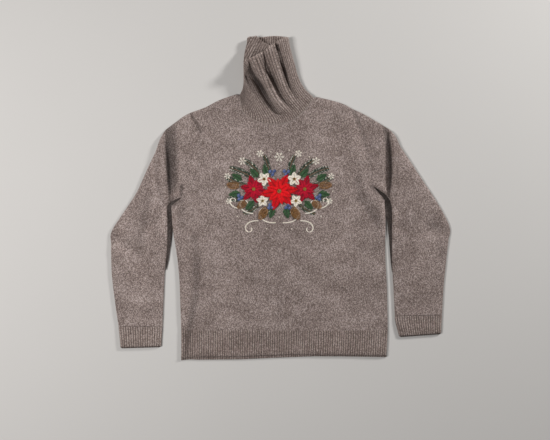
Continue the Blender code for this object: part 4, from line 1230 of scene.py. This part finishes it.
def rose(centre, radius, turn, layer):
    """A Christmas rose: five broad cream petals round a ring of gold knots."""
    for k in range(5):
        angle = turn + 72 * k
        root = centre + direction(angle) * radius * 0.16
        satin_leaf("cream", root, angle, radius * 0.86, radius * 0.36, layer, slant=0.1, tone=0.6)
    for k in range(6):
        knot("old_gold", centre + direction(60 * k + turn) * radius * 0.17, 1.3, layer + 1.2)
    knot("fir_green", centre, 1.4, layer + 1.5)


def knot(yarn, place, radius, layer):
    """A French knot: five short turns of thread laid close round a point."""
    for turn in range(5):
        angle = turn * 144 + rng.uniform(-20, 20)
        start, end = (place + direction(angle + k) * radius * 0.8 for k in (0, 150))
        width, arch, bend = radius * 0.85, radius * 0.7, radius * 0.35
        threads[yarn].lay(start, end, width, arch, layer + turn * 0.12, bend, tone_near(0.6))


def berry(place, radius, layer):
    """A round berry in padded satin stitch with one cream glint."""
    turn = rng.uniform(20, 70)
    along, side = direction(turn), direction(turn + 90)
    for s in np.arange(-0.94, 0.95, PITCH / radius):
        half = radius * math.sqrt(1 - s * s)
        middle = place + along * radius * s
        start, end = middle - side * half, middle + side * half
        threads["berry_blue"].lay(start, end, THREAD, 1.3 * half / radius + 0.3, layer, tone=tone_near(0.5))
    glint = place + direction(120) * 1.6
    threads["cream"].lay(glint - side * 0.8, glint + side * 0.9, 0.7, 0.6, layer + 1.5)


def poinsettia(yarn, centre, radius, turn, layer):
    """Six long bracts, six shorter ones between and above them, and a cluster of gold knots."""
    for k in range(6):
        angle = turn + 60 * k + rng.uniform(-5, 5)
        length, root = radius * rng.uniform(0.92, 1.06) * 0.92, centre + direction(angle) * radius * 0.1
        satin_leaf(yarn, root, angle, length, radius * 0.235, layer, slant=0.24, tone=0.38)
    for k in range(6):
        angle = turn + 30 + 60 * k + rng.uniform(-6, 6)
        length, root = radius * rng.uniform(0.58, 0.68), centre + direction(angle) * radius * 0.07
        satin_leaf(yarn, root, angle, length, radius * 0.17, layer + 1.0, slant=0.24, tone=0.68)
    for k in range(7):
        place = centre + (direction(k * 60) * radius * 0.085 if k < 6 else 0)
        knot("old_gold", place, 1.5, layer + 2.0)


def fir_sprig(base, angle, length, bend, layer, snow):
    """A bent stem in stem stitch with needles on both sides, some of them tipped with snow."""
    steps = int(length / 1.7)
    place, heading = np.array(base, float), angle
    for k in range(steps):
        ahead, end = (place + direction(heading) * reach for reach in (1.9, 3.3))
        threads["cone_brown"].lay(place, end, 0.9, 0.4, layer + 0.3, tone=tone_near(0.3))
        reach = 9.5 * math.sin(math.pi * (0.12 + 0.8 * k / steps)) ** 0.6 * length / 48
        for sign in (-1, 1):
            spread = heading + sign * (42 + rng.uniform(-7, 7))
            tip = place + direction(spread) * reach * rng.uniform(0.85, 1.15)
            threads["fir_green"].lay(place, tip, 0.95, 0.6, layer, 0.5 * sign, tone_near(0.5, 0.25))
            if rng.random() < snow:
                near = place + (tip - place) * 0.45
                far = near + (tip - near) * rng.uniform(0.5, 0.95)
                threads["cream"].lay(near, far, 0.8, 0.4, layer + 0.6, tone=tone_near(0.8))
        place, heading = ahead - direction(heading) * 0.2, heading + bend / steps


def fir_cone(base, angle, length, half_width, layer):
    """Overlapping rows of short thick stitches, like the scales of a cone."""
    along, side = direction(angle), direction(angle + 90)
    rows = int(length / 2.9)
    for r in range(rows):
        s = (r + 0.5) / rows
        wide = half_width * math.sin(math.pi * (0.12 + 0.82 * s)) ** 0.7
        count = max(1, int(2 * wide / 2.6))
        for k in range(count):
            off = (k - (count - 1) / 2) / max(count, 1) * 2 * wide
            root = base + along * (length * s) + side * off
            tip = root + along * 3.7 + side * off * 0.12
            tone = tone_near(0.62 if k % 2 else 0.4)
            threads["cone_brown"].lay(root, tip, 2.0, 0.9, layer + 0.9 - 0.5 * s, tone=tone)


def frost_star(centre, radius, turn, layer=0.2):
    """A six-armed star in straight stitches with two pairs of barbs on each arm."""
    for k in range(6):
        arm = direction(turn + 60 * k)
        start, end = centre + arm * 0.5, centre + arm * radius
        threads["cream"].lay(start, end, 1.35, 0.8, layer, tone=tone_near(0.8))
        for part, barb in ((0.5, 0.34), (0.78, 0.24)):
            for sign in (-1, 1):
                root = centre + arm * radius * part
                tip = root + direction(turn + 60 * k + 52 * sign) * radius * barb
                threads["cream"].lay(root, tip, 1.15, 0.7, layer, tone=tone_near(0.8))


def frost_curl(start, angle, size, sign, layer=0.2):
    """A scroll in two close rows of stem stitch that winds up at its end."""
    for row in (0, 1):
        place, heading = np.array(start, float) + row * sign * direction(angle + 90) * 1.3, angle
        total = int(size * 1.5)
        for k in range(total):
            part = k / total
            ahead = place + direction(heading) * (2.3 - 0.12 * row)
            end = ahead + direction(heading) * 1.2
            threads["cream"].lay(place, end, 1.3, 0.6, layer, tone=tone_near(0.75))
            place, heading = ahead, heading + sign * (CURL_TURN / total) * (0.15 + 1.7 * part**1.6)


MIDDLE = np.array([-3.0, 18.0])  # of the swag
# out and up: where a motif starts from there. Sprigs, leaves, cones, scrolls and berries stand on
# both sides of the middle. Stars and dots have a row for each one.
Sprig = namedtuple("Sprig", "out up angle length bend")
SPRIGS = (
    Sprig(22, 36, 80, 50, -14), Sprig(44, 34, 58, 56, -28), Sprig(62, 28, 36, 62, -24),
    Sprig(78, 12, 14, 54, 16), Sprig(70, -14, -18, 54, 22), Sprig(46, -32, -44, 46, 26),
    Sprig(20, -36, -66, 38, 20),
)
Motif = namedtuple("Motif", "out up angle size")
HOLLY = (
    Motif(28, 32, 74, 32), Motif(50, 30, 48, 30), Motif(88, 24, 30, 30), Motif(92, -6, -10, 30),
    Motif(60, -24, -48, 30), Motif(14, -40, -74, 28),
)
CONES = (Motif(30, -40, -60, 32), Motif(94, 10, 6, 30), Motif(78, -26, -36, 26))
# A scroll whose size is negative winds the other way.
CURLS = (Motif(62, -56, 4, 22), Motif(96, -44, 10, 16), Motif(8, -78, -2, 26), Motif(50, -72, 2, -20))
BERRIES = ((22, -34), (16, -41), (25, -42), (90, -17), (97, -12), (96, -21), (16, 38), (22, 45), (12, 46))
STARS = (
    Motif(0, 80, 0, 12), Motif(-46, 88, 12, 9), Motif(46, 88, 18, 9), Motif(-88, 70, 5, 10),
    Motif(88, 70, 25, 10), Motif(-124, 34, 10, 8), Motif(124, 34, 20, 8), Motif(-120, -26, 0, 8),
    Motif(120, -26, 15, 8),
)
SNOW_DOTS = (
    (-20, 92), (24, 96), (-70, 82), (72, 80), (-112, 54), (112, 56), (-128, 8), (128, -2),
    (-100, -62), (100, -62), (-30, -92), (30, -92), (0, -64), (-64, 62), (64, 60), (0, 62),
)
CONE_WIDTHS = (10.0, 9.0, 8.5)


def spot(out, up):
    return MIDDLE + np.array([out, up])


def mirrored(angle, sign):
    return angle if sign > 0 else 180 - angle


for sign in (-1, 1):
    for sprig in SPRIGS:
        base = spot(sign * sprig.out, sprig.up)
        angle, bend = mirrored(sprig.angle, sign), sign * sprig.bend
        fir_sprig(base, angle, sprig.length, bend, layer=0.1, snow=0.3)
    for leaf in HOLLY:
        base, angle = spot(sign * leaf.out, leaf.up), mirrored(leaf.angle, sign)
        satin_leaf("holly_green", base, angle, leaf.size, 9.0, 0.9, lobes=4, slant=0.22, vein="fir_green")
    for cone, width in zip(CONES, CONE_WIDTHS):
        base, angle = spot(sign * cone.out, cone.up), mirrored(cone.angle, sign)
        fir_cone(base, angle, cone.size, width, layer=0.8)
    poinsettia("crimson", spot(sign * 61, 3), radius=34, turn=14 * sign, layer=1.6)
    rose(spot(sign * 36, 27), radius=17, turn=20 * sign, layer=2.2)
    rose(spot(sign * 40, -25), radius=15, turn=50 * sign, layer=2.2)
    for out, up in BERRIES:
        berry(spot(sign * out, up), radius=4.3, layer=1.8)
    for curl in CURLS:
        way = sign if curl.size > 0 else -sign
        frost_curl(spot(sign * curl.out, curl.up), mirrored(curl.angle, sign), abs(curl.size), way)
poinsettia("scarlet", spot(0, -2), radius=44, turn=8, layer=2.6)
for star in STARS:
    frost_star(spot(star.out, star.up), star.size, star.angle)
for out, up in SNOW_DOTS:
    knot("cream", spot(out, up), radius=1.9, layer=0.1)

embroidered = [sewn("embroidery_" + name, threads[name], YARNS[name]) for name in YARNS]
